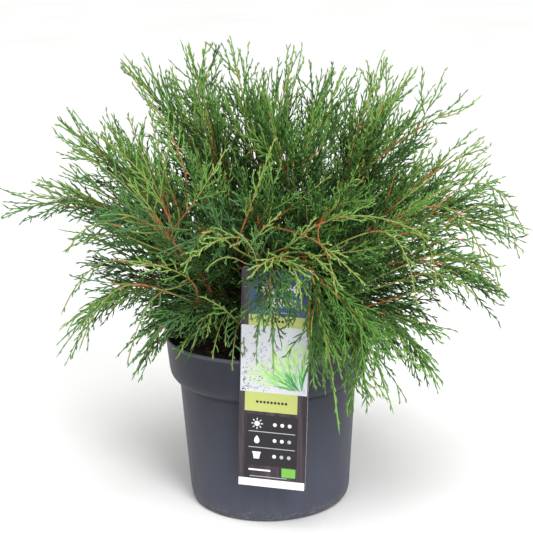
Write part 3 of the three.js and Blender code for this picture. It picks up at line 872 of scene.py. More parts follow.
# each bough: tier and azimuth where it leaves the trunk, reach and height of its fork, and for both of its
# masses the azimuth, reach and height of the furthest tip and how far the stem arches up
boughs = {
    "left": ("middle", 178, 82, 252, (180, 242, 274, 26), (177, 188, 360, 14)),
    "left_low": ("low", -174, 62, 206, (-174, 197, 146, 34), (-162, 188, 256, 30)),
    "left_front": ("low", -140, 60, 204, (-149, 142, 140, 22), (-141, 178, 300, 26)),
    "front_left": ("middle", -114, 62, 250, (-112, 176, 262, 30), (-124, 128, 345, 8)),
    "front": ("low", -88, 50, 236, (-88, 146, 168, 50), (-96, 138, 318, 16)),
    "front_right": ("middle", -66, 58, 240, (-70, 172, 118, 58), (-58, 168, 312, 20)),
    "right_front": ("low", -51, 60, 210, (-53, 176, 128, 40), (-38, 206, 268, 30)),
    "right_low": ("low", -15, 64, 200, (-24, 170, 122, 26), (-16, 224, 206, 32)),
    "right": ("middle", -4, 82, 238, (-7, 238, 238, 34), (-12, 204, 338, 16)),
    "right_high": ("high", 6, 66, 284, (0, 192, 370, 14), (9, 144, 398, 10)),
    "right_back": ("middle", 30, 76, 250, (25, 226, 250, 30), (32, 142, 404, 0)),
    "back_right": ("low", 62, 70, 222, (54, 206, 186, 36), (68, 200, 338, 14)),
    "back_left": ("low", 106, 70, 226, (94, 218, 218, 36), (116, 192, 344, 14)),
    "left_back": ("low", 148, 76, 240, (159, 208, 316, 24), (138, 216, 222, 34)),
    "top_left": ("high", 160, 38, 300, (169, 130, 410, 8), (146, 80, 424, 2)),
    "top": ("crown", 84, 22, 300, (119, 60, 430, 2), (68, 88, 418, 4)),
    "top_front": ("high", -40, 32, 296, (14, 80, 404, 2), (-88, 62, 392, 2)),
}


# a fixed number from 0 to 1 for keys: the fraction of 43758.5453 sin(1 + 12.9898 a + 78.233 b + 37.719 c)
def chance(*keys):
    total = 1.0
    for key, weight in zip(keys, (12.9898, 78.233, 37.719)):
        total = total + np.asarray(key) * weight
    wave = np.sin(total) * 43758.5453
    return wave - np.floor(wave)


# a place by its azimuth in degrees: (reach cos a, reach sin a, height)
def polar(azimuth, reach, height):
    turn = math.radians(azimuth)
    return np.array([reach * math.cos(turn), reach * math.sin(turn), height])


# an arching limb: quadratic curve whose control is the midpoint of its ends, lifted by twice the arch
def archingCurve(start, end, arch):
    return np.stack([start, (start + end) / 2 + 2 * arch * up, end])


# p(t) = (1 - t)^2 a + 2 t (1 - t) b + t^2 c
def curvePoint(curve, t):
    t = np.asarray(t, float)[..., None]
    return (1 - t) ** 2 * curve[..., 0, :] + 2 * t * (1 - t) * curve[..., 1, :] + t ** 2 * curve[..., 2, :]


# p(t) at the same places t along each of many curves, or at a row of places for each
def alongEach(curves, t):
    return curvePoint(curves[:, None], np.broadcast_to(t, (len(curves), t.shape[-1])))


# direction of p(t): (1 - t) (b - a) + t (c - b), to length one
def curveTangent(curve, t):
    t = np.asarray(t, float)[..., None]
    return unit((1 - t) * (curve[..., 1, :] - curve[..., 0, :]) + t * (curve[..., 2, :] - curve[..., 1, :]))


# the stretch of a curve from t0 to t1, whose middle control is (1-t0)(1-t1) a + (t0+t1-2 t0 t1) b + t0 t1 c
def curvePart(curve, t0, t1):
    t0, t1 = np.broadcast_arrays(np.asarray(t0, float), np.asarray(t1, float))
    u, v = t0[..., None], t1[..., None]
    shares = (1 - u) * (1 - v), u + v - 2 * u * v, u * v
    control = sum(share * curve[..., i, :] for i, share in enumerate(shares))
    return np.stack([curvePoint(curve, t0), control, curvePoint(curve, t1)], -2)


# trunk radius: from neck to top in a straight line, plus a flare that dies away as exp(-flare rise)
def trunkRadius(rise):
    s = trunkShape
    flare = (s["flareRadius"] - s["neckRadius"]) * np.exp(-s["flare"] * rise)
    return lerp(s["neckRadius"], s["topRadius"], rise) + flare


# the curves of boughs and stems. A bough starts just clear of the bark, further out the steeper it is, and
# its two stems just clear of its end, to either side
def growLimbs():
    s, limb = trunkShape, limbShape
    foot = np.array([0, 0, s["foot"]])
    top = np.array([*s["lean"], s["foot"] + s["height"]])
    boughCurves, stemCurves = [], []
    for tier, azimuth, reach, height, *masses in boughs.values():
        rise = tierHeight[tier] / s["height"]
        axis = lerp(foot, top, rise)
        fork = polar(azimuth, reach, height)
        arch = limb["arch"] * (fork[2] - axis[2])
        steep = math.atan2(fork[2] - axis[2] + 4 * arch, reach - s["topRadius"])
        clear = trunkRadius(rise) + limb["rootRadius"] * math.sin(steep) + limb["seat"]
        curve = archingCurve(axis + polar(azimuth, clear, 0), fork, arch)
        boughCurves.append(curve)
        ahead = curveTangent(curve, 1)
        tips = [polar(*mass[:3]) for mass in masses]
        apart = tips[0] - tips[1]
        apart = unit(apart - ahead * (apart @ ahead))
        for hand, tip, mass in zip((1, -1), tips, masses):
            lean = math.acos(min(1, curveTangent(archingCurve(fork, tip, mass[3]), 0) @ ahead))
            start = fork + hand * (limb["stemRoot"] + limb["seat"]) * apart
            start = start + ahead * (limb["stemRoot"] * math.sin(lean) + limb["seat"])
            stemCurves.append(archingCurve(start, tip, mass[3]))
    return np.array(boughCurves), np.array(stemCurves)


boughCurves, stemCurves = growLimbs()
boughNodes = ["bough_" + name for name in boughs]
massNames = [name + end for name in boughs for end in ("_a", "_b")]
massNodes = ["foliage_" + name for name in massNames]
massCount = len(massNames)


# conifer bark: thin, fibrous, peeling in long strips. It catches the light along its ridges; grooves are dark
def barkFinish(name, groove, ridge, ridgeWidth):
    material, tree, shader, place = startMaterial(name)
    tall = addNode(tree, "ShaderNodeMapping", {"Vector": place, "Scale": (1, 1, 0.3)})
    noise = addNode(tree, "ShaderNodeTexNoise", {"Vector": tall.outputs[0], "Scale": 1000 / ridgeWidth,
                                                 "Detail": 5.0, "Roughness": 0.6, "Distortion": 0.4})
    strips = noise.outputs["Fac"]
    share = addNode(tree, "ShaderNodeMapRange", {"Value": strips, "From Min": 0.36, "From Max": 0.64})
    dressSurface(tree, shader, (share.outputs[0], linearColour(groove), linearColour(ridge)),
                 (strips, 0.9, 0.6), (strips, 0.7, 0.0008))
    return material


# relief of the bark as a share of the radius: wavering ridges along the limb, with slow swellings
def barkRelief(angle, along, ridges, seed):
    waver = 0.8 * np.sin(7 * along + seed) + 0.5 * np.sin(17 * along + 2 * seed)
    ridge = np.abs(np.sin(ridges / 2 * angle + waver)) ** 0.7 - 0.6
    strand = np.sin(ridges * 1.5 * angle - 13 * along + seed) * np.sin(23 * along + 2.6 * angle + seed)
    swell = np.sin(11 * along + seed) + 0.6 * np.sin(27 * along + 3 * seed)
    return 1 + 0.075 * ridge + 0.035 * strand + 0.035 * swell


# bough radius: from root to end in a straight line, times the relief, carried along the bough's curve
def makeBoughs(limb):
    count = len(boughCurves)
    t = np.arange(limb["steps"]) / limb["steps"]
    seeds = np.arange(count)[:, None, None] * 1.7
    relief = barkRelief(fullTurn(limb["sides"]), t[None, :, None], limb["ridges"], seeds)
    radius = lerp(limb["rootRadius"], limb["endRadius"], t)[None, :, None] * relief
    ends = boughCurves[:, 2] + curveTangent(boughCurves, np.ones(count)) * limb["pastEnd"]
    lot = carryRings(alongEach(boughCurves, t), ends, radius, np.tile(up, (count, 1)), limb["sides"])
    makePiece("barkBoughs", *lot, barkFinish("stringyBark", "#3a2216", "#8a5230", 1.4), "bark", boughNodes)


# trunkRadius times the relief, swollen over five roots by exp(-7 rise) sin(5 a + 0.6)
def makeTrunk(s):
    rise = np.linspace(0, 1, s["rings"])[:, None]
    around = fullTurn(s["sides"])
    roots = 1 + s["rootSwell"] * np.exp(-7 * rise) * np.sin(5 * around + 0.6)
    radius = trunkRadius(rise) * barkRelief(around, rise, s["ridges"], 0.4) * roots
    axis = np.array([0, 0, s["foot"] - s["sunk"]]) + rise * np.array([*s["lean"], s["height"] + s["sunk"]])
    face = np.array([[0.0, 1.0, 0.0]])
    lot = carryRings(axis[None], axis[-1:] + [0, 0, 4], radius[None], face, s["sides"])
    makePiece("barkTrunk", *lot, barkFinish("oldStringyBark", "#2c1c14", "#6f452c", 2.2), "bark", ["trunk"])


makeBoughs(limbShape)
makeTrunk(trunkShape)
print("trunk and boughs made")

# foliage: flat plumes in two ranks along each stem, carried to branchlets and scale-clad shoots. Lengths are
# in mm and angles in degrees, and pairs run from the least to the most or from root to end
foliage = {
    "sourceSprays": 5,
    "finerSprays": 21,  # between the source's five
    "innerSprays": 30,  # along each bough, where the crown is dark
    "first": 0.06,
    "last": 0.74,
    "spread": 30,
    "spreadPlay": 14,
    "roll": 140,
    "sprayLength": 0.72,
    "endLength": 0.14,
    "lengthPlay": 0.3,
    "shares": (1, 0.86, 0.72, 0.58, 0.44, 0.3),
    "shortest": 14,
    "tipSpray": 46,
    "tipSpread": 3,
    "finerPlay": 1.6,  # times the play in their spread
    "finerCrowding": 1.2,  # above one they crowd towards the root
    "finerLength": (0.78, 0.3),  # slimmer than the source's, and longer, to a common end with the stem
    "finerVary": (0.5, 1.15),
    "finerShortest": 26,
    "finerStay": 0.2,  # nearer to the root than this share of the stem none is lost
    "innerAlong": (0.06, 0.98),
    "innerSpread": (28, 62),
    "innerHanging": (40, 140),  # every third one is turned so, towards the soil
    "innerLength": (38, 90),
    "follow": 0.55,  # how far a spray's end has turned to run beside its stem
    "lift": 0.34,  # how far a level spray bends up where it stands high, or droops where it is low
    "liftPlay": (-0.09, 0.12),
    "sway": 0.24,
    "levelHeight": 190,  # a spray neither stands high nor low here at the middle, and higher further out
    "levelSlope": 0.55,
    "levelBand": 80,
    # the share that carries no branchlets, and for shown stems the share of their bare wood that carries none
    "bare": {"spray": 0.05, "stem": 0.3, "shown": 0.6},
    "branchletShare": 0.62,
    "branchletVary": (0.6, 1.1),  # from spray to spray
    "branchletPlay": (0.4, 1.2),  # from one to the next
    "cutShortOver": 0.36,
    "longestBranchlet": 54,
    "shortestBranchlet": 4.0,
    "branchletShares": (1, 0.7, 0.45, 0.2),  # it is cut to the first of these that has room
    "lastBranchlet": 0.985,  # where along the spine
    "shownBranchlet": 0.6,  # times the reach of others
    "shownGrown": 0.85,
    "taper": 0.5,
    "lean": (33, 11),  # between the foot of a branchlet and its spray, and its play
    "endLean": (13, 14),  # and at its end, where it has bent forward
    "branchletTilt": 0.2,
    "branchletDroop": (-0.06, 0.07),
    "branchletLift": 0.18,  # by which one that stands high bends up
    "nub": (3.5, 7.5),
    "nubsFrom": 0.86,  # beyond this all are nubs
    "pitch": 6.0,  # between branchlets, which alternate
    "pitchPlay": 0.3,  # of the pitch
    "shootPitch": 6.4,  # between shoots on a branchlet
    "shootsFrom": 8,  # shorter branchlets have no shoots
    "shootAlong": (0.16, 0.8),  # where they begin, and over how much of the branchlet they go on
    "shootShare": 0.34,  # of its branchlet, and less by this taper towards the branchlet's end
    "shootTaper": 0.5,
    "shootVary": (0.65, 1.25),
    "shootLength": (4.6, 12),
    "shootLean": (31, 6),
    "shootEndLean": 0.4,  # times its lean at the foot
    "shootTilt": 0.14,
    "shootDroop": (-0.03, 0.03),
    "branchletRadius": 0.72,
    "shootRadius": 0.74,
    "ends": (0.5, 1.0),
    "overTip": 3.0,  # that foliage may pass the end of its mass's stem
    "openness": 0.3,  # share of the branchlets that grow out at the end of a mass; the rest stay nubs
    "opensFrom": 0.35,  # of the way along the mass
    "opensOver": 0.5,
    "limbRoom": 2.6,
    "potRoom": 3.0,
    "soilRoom": 3.0,
    "potMouth": 86,  # radius within which foliage may hang over the soil
    "labelRoom": 2.0,
    "boxRoom": 3.0,  # that places may pass the frame's box
    "crossing": 17.0,  # that a spray may reach over into its neighbours' space
    # masses that are thinner or fuller than the rest: below one a share of their foliage stays
    "fullness": {
        "left_a": 0.55, "left_b": 0.7, "left_low_a": 0.55, "left_low_b": 0.6, "left_front_a": 0.9,
        "left_back_a": 0.55, "left_back_b": 0.75, "right_high_a": 0.4, "right_high_b": 0.6, "right_b": 0.35,
        "right_back_a": 0.6, "right_back_b": 0.7, "top_left_a": 1.0, "top_left_b": 0.8, "top_a": 0.65,
        "top_b": 0.15, "top_front_a": 0.6, "top_front_b": 0.5, "back_right_b": 0.7, "back_left_b": 0.7,
        "right_a": 1.7, "right_low_b": 2.3, "right_front_b": 1.4, "front_a": 1.6, "front_b": 1.3,
    },
    "greenFrom": 0.84,  # where the green of a stem begins
    "amberShare": 0.16,  # of the young twigs
    # where the wood of a mass's stem ends: for most at two thirds
    "woodEnds": 0.66,
    "greenStems": {
        "front_a": 0.12, "front_right_a": 0.4, "right_front_a": 0.5, "top_a": 0.4, "top_b": 0.35,
        "top_front_a": 0.4, "right_high_b": 0.45, "top_left_b": 0.45, "top_front_b": 0.45,
    },
    "mostTriangles": 190000,  # in one piece
    "shootsPerLot": 5000,
    "slot": "foliage",
}
# woody stems and leafy sprays that show at the crown's surface. Each has its root, middle and end as picked
# in the photograph: the pixel across and down, and how far out it lies as a share of the way from the crown's
# heart to its skin. Then come the share that is bare, the radius at the root in mm, and the tone
shownStems = {
    "longRight": ((286, 251, 0.66), (352, 216, 0.93), (434, 240, 1.02), 0.5, 0.95, 3),
    "forkRight": ((311, 238, 0.84), (334, 254, 0.95), (368, 286, 1.03), 0.38, 0.85, 4),
    "forkRed": ((326, 251, 0.88), (332, 266, 0.92), (338, 296, 0.99), 0.42, 0.55, 3),
    "archLeft": ((186, 208, 0.62), (176, 143, 0.84), (121, 62, 1.0), 0.55, 0.9, 3),
    "midLeft": ((172, 231, 0.64), (198, 198, 0.86), (228, 148, 0.95), 0.5, 0.75, 3),
    "middle": ((237, 246, 0.66), (254, 200, 0.86), (277, 136, 0.95), 0.52, 0.85, 3),
    "brownLeft": ((169, 222, 0.6), (164, 184, 0.78), (172, 140, 0.9), 0.5, 0.6, 2),
    "brownLeftFork": ((165, 192, 0.72), (156, 172, 0.8), (144, 146, 0.9), 0.45, 0.5, 2),
    "amberLeft": ((163, 230, 0.7), (151, 207, 0.86), (122, 172, 0.99), 0.4, 0.7, 3),
    "reddish": ((274, 224, 0.56), (296, 204, 0.7), (334, 174, 0.9), 0.45, 0.6, 2),
    "amberRight": ((388, 224, 0.76), (411, 209, 0.92), (454, 184, 1.0), 0.42, 0.6, 3),
    "amberRightHigh": ((384, 216, 0.7), (400, 203, 0.86), (434, 176, 0.97), 0.42, 0.5, 2),
    "level": ((298, 257, 0.64), (342, 253, 0.8), (396, 246, 0.97), 0.45, 0.5, 2),
    "lowLeft": ((199, 300, 0.5), (181, 273, 0.8), (118, 260, 1.0), 0.42, 1.05, 3),
    "lowRight": ((366, 307, 0.6), (400, 297, 0.72), (446, 282, 0.9), 0.55, 0.7, 2),
    "small": ((247, 336, 0.5), (231, 314, 0.68), (202, 296, 0.9), 0.35, 0.6, 2),
    "paleArch": ((250, 240, 0.8), (217, 241, 0.98), (180, 269, 1.0), 0.1, 0.6, 4),
    "paleArchFork": ((224, 237, 0.93), (212, 231, 0.98), (202, 239, 1.0), 0.0, 0.5, 4),
    "heart1": ((250, 252, 0.78), (262, 232, 0.94), (284, 212, 1.0), 0.12, 0.6, 3),
    "heart2": ((287, 256, 0.8), (268, 261, 0.95), (250, 279, 1.02), 0.12, 0.6, 4),
    "heart3": ((262, 264, 0.78), (290, 262, 0.95), (320, 278, 1.03), 0.12, 0.6, 3),
    "heart4": ((284, 258, 0.85), (298, 276, 1.0), (303, 312, 1.08), 0.12, 0.6, 4),
    "heart5": ((300, 252, 0.85), (322, 262, 0.98), (345, 292, 1.05), 0.12, 0.6, 3),
    "heart6": ((244, 262, 0.78), (224, 258, 0.92), (206, 272, 1.0), 0.12, 0.6, 5),
    "heart7": ((258, 268, 0.8), (252, 246, 0.94), (232, 228, 1.0), 0.12, 0.6, 2),
    "heart8": ((280, 250, 0.8), (300, 238, 0.94), (318, 214, 0.99), 0.12, 0.6, 3),
    "droopRight1": ((398, 236, 0.88), (426, 240, 0.99), (438, 288, 1.05), 0.2, 0.65, 3),
    "droopRight2": ((372, 232, 0.9), (402, 246, 0.99), (418, 306, 1.06), 0.2, 0.65, 3),
    "droopRight3": ((425, 208, 0.9), (462, 216, 1.0), (484, 262, 1.05), 0.2, 0.65, 2),
    "droopRight4": ((450, 240, 0.85), (486, 250, 0.98), (500, 290, 1.03), 0.2, 0.65, 2),
    "droopRight5": ((432, 214, 0.85), (486, 184, 0.98), (527, 236, 1.04), 0.2, 0.65, 2),
    "droopRight6": ((446, 226, 0.85), (494, 208, 0.97), (521, 262, 1.03), 0.2, 0.65, 5),
    "droopRight7": ((418, 260, 0.85), (464, 260, 0.97), (508, 296, 1.03), 0.2, 0.65, 2),
    "droopRight8": ((408, 278, 0.8), (446, 276, 0.94), (480, 300, 1.0), 0.2, 0.65, 3),
    "shoulderLeft1": ((172, 222, 0.7), (138, 168, 0.88), (92, 132, 0.98), 0.15, 0.65, 3),
    "shoulderLeft2": ((168, 212, 0.7), (146, 160, 0.86), (128, 112, 0.96), 0.15, 0.65, 2),
    "shoulderLeft3": ((160, 226, 0.75), (118, 178, 0.9), (70, 150, 1.0), 0.15, 0.65, 5),
    "shoulderLeft4": ((178, 205, 0.7), (160, 150, 0.84), (150, 98, 0.94), 0.15, 0.65, 2),
    "droopLeft1": ((125, 228, 0.85), (92, 226, 0.98), (68, 254, 1.04), 0.2, 0.65, 5),
    "droopLeft2": ((128, 262, 0.82), (92, 270, 0.97), (62, 316, 1.05), 0.2, 0.65, 5),
    "droopLeft3": ((150, 286, 0.75), (110, 296, 0.9), (80, 352, 1.03), 0.2, 0.65, 2),
    "droopLeft4": ((168, 290, 0.7), (146, 312, 0.85), (128, 366, 1.0), 0.2, 0.65, 5),
}
crownSkin = {"middle": (0, 15, 235), "halfAxes": (232, 180, 192)}  # mm
shownGap = 3.2  # mm that the foliage keeps off the sight line of a bare stretch
# low sprays that droop over the rim at the front left. A row for each of their three places: degrees on from
# the azimuth, reach and its play, height and its play
rimSprays = {
    "azimuths": (-162, -155, -148, -142, -136, -130, -124, -119, -114, -109),
    "places": ((0, 40, 0, 204, 8), (5, 80, 0, 204, -14), (9, 98, 22, 186, -26)),
    "bare": 0.12,
    "radius": 0.6,
}


# where the sight line through a pixel first meets the crown's skin drawn in by the share, or passes nearest
# to it: the smaller root of |(o + d t - middle) / half|^2 = 1, or its middle where there is none
def pickPoint(across, down, share):
    view = cameraView
    pitch, roll = math.radians(view["pitchDown"]), math.radians(view["roll"])
    length = view["lens"] / view["sensor"] * view["pictureSide"]
    a, b = across - view["pictureSide"] / 2, down - view["pictureSide"] / 2
    right = math.cos(roll) * a + math.sin(roll) * b
    below = math.cos(roll) * b - math.sin(roll) * a
    ahead = np.array([0, math.cos(pitch), -math.sin(pitch)])
    upward = np.array([0, math.sin(pitch), math.cos(pitch)])
    sight = unit(ahead * length + np.array([right, 0, 0]) - upward * below)
    eye = np.array(view["place"]) * 1000
    half = np.array(crownSkin["halfAxes"]) * share
    o, d = (eye - crownSkin["middle"]) / half, sight / half
    square, turned, rest = d @ d, o @ d, o @ o - 1
    return eye + sight * (-turned - math.sqrt(max(turned ** 2 - square * rest, 0))) / square


shownRows = [([pickPoint(*pick) for pick in row[:3]], row[3:]) for row in shownStems.values()]
for i, azimuth in enumerate(rimSprays["azimuths"]):
    play = (i * 0.618) % 1
    arc = [polar(azimuth + on, reach + out * play, height + rise * play)
           for on, reach, out, height, rise in rimSprays["places"]]
    shownRows.append((arc, (rimSprays["bare"], rimSprays["radius"], 1 + i % 3)))
# a curve through the three places: its control is 2 b - (a + c) / 2
shownCurves = np.array([(a, 2 * b - (a + c) / 2, c) for (a, b, c), _ in shownRows])
shownBare, shownRadius, shownTone = np.array([numbers for _, numbers in shownRows]).T
shownCount = len(shownCurves)
shownEye = np.array(cameraView["place"]) * 1000
massThickness = np.array([foliage["fullness"].get(name, 1.0) for name in massNames])
# marks along the limbs, to measure from
marksPerStem = 41
boughMarks = alongEach(boughCurves, np.linspace(0, 1, 25)).reshape(-1, 3)
stemMarks = alongEach(stemCurves, np.linspace(0, 1, marksPerStem)).reshape(-1, 3)
rimRadius, rimHeight = (max(row[i] for row in potShape["outside"]) for i in (0, 1))


# the square of every point's distance from every mark: |p|^2 + |m|^2 - 2 p.m
def squareDistance(points, marks):
    return (points ** 2).sum(1)[:, None] + (marks ** 2).sum(1) - 2 * points @ marks.T


# distance from each point to the nearest mark of every line of marks, in slices to save memory
def distanceToLines(points, marks, perLine, perSlice=6000):
    slices = []
    for part in np.array_split(points, max(1, len(points) // perSlice)):
        square = squareDistance(part, marks)
        slices.append(np.sqrt(np.maximum(square, 0)).reshape(len(part), -1, perLine).min(2))
    return np.concatenate(slices)


# true for points that are clear of the pot, the soil, the label and the boughs, and inside the plant's box
def hasRoom(points):
    s, f = labelShape, foliage
    radius = np.hypot(points[:, 0], points[:, 1])
    clearOfPot = (radius > rimRadius + f["potRoom"]) | (points[:, 2] > rimHeight + f["potRoom"])
    clearOfPot |= (radius < f["potMouth"]) & (points[:, 2] > soilHeight(radius) + f["soilRoom"])
    turn = math.radians(-s["turn"])
    across = points[:, 0] * math.cos(turn) - points[:, 1] * math.sin(turn)
    depth = points[:, 0] * math.sin(turn) + points[:, 1] * math.cos(turn)
    middle = s["centre"] + (points[:, 2] - s["bridgeFoot"]) * math.tan(math.radians(s["lean"]))
    clearOfLabel = abs(across - middle) > s["width"] / 2 + f["labelRoom"]
    clearOfLabel |= abs(depth - s["front"]) > f["labelRoom"] + s["thick"]
    clearOfLabel |= points[:, 2] > s["top"] + f["labelRoom"]
    inBox = ((points > boxLow - f["boxRoom"]) & (points < boxHigh + f["boxRoom"])).all(1)
    clearOfBoughs = (distanceToLines(points, boughMarks, len(boughMarks)) > f["limbRoom"])[:, 0]
    return clearOfPot & clearOfLabel & inBox & clearOfBoughs


# true where the mass's own stem is nearer than any other, give or take the crossing
def inOwnSpace(points, mass):
    distance = distanceToLines(points, stemMarks, marksPerStem)
    own = distance[np.arange(len(points)), mass]
    return own < distance.min(1) + foliage["crossing"]


# true for points that don't pass the end of their mass's stem: (p - foot).axis < chord share + overTip
def inReach(points, mass, share=1.0):
    chord = stemCurves[:, 2] - stemCurves[:, 0]
    length = np.linalg.norm(chord, axis=1)
    along = ((points - stemCurves[mass, 0]) * unit(chord)[mass]).sum(1)
    return along < length[mass] * share + foliage["overTip"]


# true for points that lie in front of the outer part of a shown stem's bare stretch: ahead of it along the
# line to the camera, and nearer to that line than the gap
def beforeShown(points):
    marks = alongEach(shownCurves, np.linspace(0.3, 1, 16) * shownBare[:, None]).reshape(-1, 3)
    toCamera = unit(shownEye - marks)
    ahead = points @ toCamera.T - (marks * toCamera).sum(1)
    aside = squareDistance(points, marks) - ahead ** 2
    return ((aside < shownGap ** 2) & (ahead > -0.5)).any(1)


# how high a place stands for how far out it is: from -1, low, to 1, high
def standing(points):
    f = foliage
    level = f["levelHeight"] + f["levelSlope"] * np.hypot(points[:, 0], points[:, 1])
    return np.clip((points[:, 2] - level) / f["levelBand"], -1, 1)


# v turned about a length-one axis k: v cos a + (k x v) sin a + k (k.v) (1 - cos a)
def turnAbout(v, k, angle):
    a = np.asarray(angle)[..., None]
    return v * np.cos(a) + np.cross(k, v) * np.sin(a) + k * (k * v).sum(-1, keepdims=True) * (1 - np.cos(a))


# a side shoot leaves a tangent forward and out: across = tangent x up, to the rank's side, rolled about the
# tangent; direction = tangent cos(spread) + across sin(spread); flat is across made square to direction
def branching(tangent, rank, spread, turn):
    across = turnAbout(unit(np.cross(tangent, up)) * rank[:, None], tangent, turn)
    direction = tangent * np.cos(spread)[:, None] + across * np.sin(spread)[:, None]
    flat = unit(across - direction * (across * direction).sum(1, keepdims=True))
    return direction, flat


# sprays on the stems: the source's five and its tip spray by the same keys, and finer ones between them by
# further keys. Each has its place along the stem, its direction and its plane by branching, and its length
def stemSprays():
    f = foliage
    length = np.linalg.norm(np.diff(alongEach(stemCurves, np.linspace(0, 1, 201)), axis=1), axis=2).sum(1)
    keys = np.arange(f["sourceSprays"] + 1 + f["finerSprays"])
    mass, key = (grid.ravel() for grid in np.meshgrid(np.arange(massCount), keys, indexing="ij"))
    own = key < f["sourceSprays"]
    atTip = key == f["sourceSprays"]
    finer = key > f["sourceSprays"]
    step = (key - f["sourceSprays"] - 1 + chance(mass, key, 4)) / f["finerSprays"]
    ownAlong = lerp(f["first"], f["last"], key / (f["sourceSprays"] - 1))
    along = np.where(own, ownAlong, lerp(0.0, f["last"], step ** f["finerCrowding"]))
    along = np.where(atTip, 1 - f["tipSpray"] / length[mass], along)
    rank = np.where((key % 2 == 0) & ~atTip, -1, 1)
    spread = f["spread"] + f["spreadPlay"] * (chance(mass, key, 1) - 0.5) * np.where(finer, f["finerPlay"], 1)
    spread = np.radians(np.where(atTip, f["tipSpread"], spread))
    turn = np.radians(np.where(finer, 360, f["roll"])) * (chance(mass, key, 2) - 0.5)
    size = length[mass] * lerp(f["sprayLength"], f["endLength"], along)
    further = length[mass] * lerp(*f["finerLength"], along) * lerp(*f["finerVary"], chance(mass, key, 5))
    size = np.where(finer, np.maximum(further, f["finerShortest"]), size)
    size = np.where(atTip, f["tipSpray"], size) * (1 + f["lengthPlay"] * (chance(mass, key, 3) - 0.5))
    ahead = curveTangent(stemCurves[mass], along)
    direction, flat = branching(ahead, rank, spread, turn)
    # sprays of one mass end at different places, some well before its end
    late = chance(mass, key, 10) ** np.minimum(1, 1 / massThickness[mass] ** 2)
    return {
        "mass": mass,
        "inner": np.zeros(len(mass), bool),
        "finer": finer,
        "along": along,
        "root": curvePoint(stemCurves[mass], along) - direction,
        "direction": direction,
        "ahead": ahead,
        "flat": flat,
        "size": size,
        "ends": np.where(finer, lerp(*f["ends"], late), 1),
    }


# inner sprays on the boughs, turned all ways, and every third one hanging towards the soil
def innerSprays():
    f = foliage
    counts = np.arange(len(boughCurves)), np.arange(f["innerSprays"])
    bough, inner = (grid.ravel() for grid in np.meshgrid(*counts, indexing="ij"))
    along = lerp(*f["innerAlong"], (inner + chance(bough, inner, 6)) / f["innerSprays"])
    spread = np.radians(lerp(*f["innerSpread"], chance(bough, inner, 7)))
    turn = np.radians(360) * chance(bough, inner, 8)
    turn = np.where(inner % 3 == 0, np.radians(lerp(*f["innerHanging"], chance(bough, inner, 8))), turn)
    ahead = curveTangent(boughCurves[bough], along)
    direction, flat = branching(ahead, np.ones(len(bough)), spread, turn)
    return {
        "mass": 2 * bough,
        "inner": np.ones(len(bough), bool),
        "finer": np.zeros(len(bough), bool),
        "along": along,
        "root": curvePoint(boughCurves[bough], along),
        "direction": direction,
        "ahead": ahead,
        "flat": flat,
        "size": lerp(*f["innerLength"], chance(bough, inner, 9)),
        "ends": np.ones(len(bough)),
    }


# all sprays, each as long as its space allows, or left out
def plantSprays():
    f = foliage
    lots = stemSprays(), innerSprays()
    sprays = {name: np.concatenate([lot[name] for lot in lots]) for name in lots[0]}
    kept = np.zeros(len(sprays["size"]))
    for share in f["shares"]:
        far = sprays["root"] + sprays["direction"] * (sprays["size"] * share)[:, None]
        near = sprays["root"] + sprays["direction"] * (sprays["size"] * share * 0.6)[:, None]
        room = hasRoom(far) & hasRoom(near) & inReach(far, sprays["mass"], sprays["ends"])
        room &= inOwnSpace(far, sprays["mass"]) | sprays["inner"]
        kept = np.where((kept == 0) & room & (sprays["size"] * share > f["shortest"]), share, kept)
    # airy masses lose some of their finer sprays, but not close to the root
    lost = sprays["finer"] & (sprays["along"] > f["finerStay"])
    kept[lost & (rng.random(len(kept)) > massThickness[sprays["mass"]])] = 0
    sprays["size"] = sprays["size"] * kept
    return {name: values[kept > 0] for name, values in sprays.items()}


# the curve of each spray: it starts along its direction and turns to run beside its stem. It bends to the
# light by a share of its length where it stands high, droops where it is low, and sways to the side
def bendSpines(sprays):
    f, size, count = foliage, sprays["size"][:, None], len(sprays["size"])
    level = 1 - np.abs(sprays["direction"][:, 2:])
    lift = rng.uniform(*f["liftPlay"], (count, 1)) + f["lift"] * standing(sprays["root"])[:, None] * level
    sway = rng.uniform(-f["sway"], f["sway"], (count, 1))
    straight = sprays["root"] + sprays["direction"] * size
    onward = unit(lerp(sprays["direction"], sprays["ahead"], f["follow"])) * size / 2
    middle = sprays["root"] + sprays["direction"] * size / 2
    end = middle + onward + up * size * lift + sprays["flat"] * size * sway
    end = np.where(hasRoom(end)[:, None], end, straight)
    return np.stack([sprays["root"], middle, end], 1)


# how many children each parent has, as the parent's number and the child's number under it
def childrenOf(counts):
    parent = np.repeat(np.arange(len(counts)), counts)
    return parent, np.arange(len(parent)) - np.repeat(np.cumsum(counts) - counts, counts)


# children in two ranks in a parent's plane, wide at the root and bending forward: start along
# tangent cos(wide) + side sin(wide) + face tilt, and end along the same with the narrower angle and more tilt
def childCurves(parentCurve, parentFace, at, hand, size, wide, narrow, tilt, droop):
    tangent = curveTangent(parentCurve, at)
    side = unit(np.cross(parentFace, tangent)) * hand[:, None]
    face = np.cross(tangent, side) * hand[:, None]
    start = curvePoint(parentCurve, at)
    first = unit(tangent * np.cos(wide)[:, None] + side * np.sin(wide)[:, None] + face * tilt[:, None])
    second = unit(tangent * np.cos(narrow)[:, None] + side * np.sin(narrow)[:, None]
                  + face * tilt[:, None] * 1.4)
    control = start + first * size[:, None] / 2
    end = control + second * size[:, None] / 2 - up * (droop * size)[:, None]
    return np.stack([start, control, end], 1), face


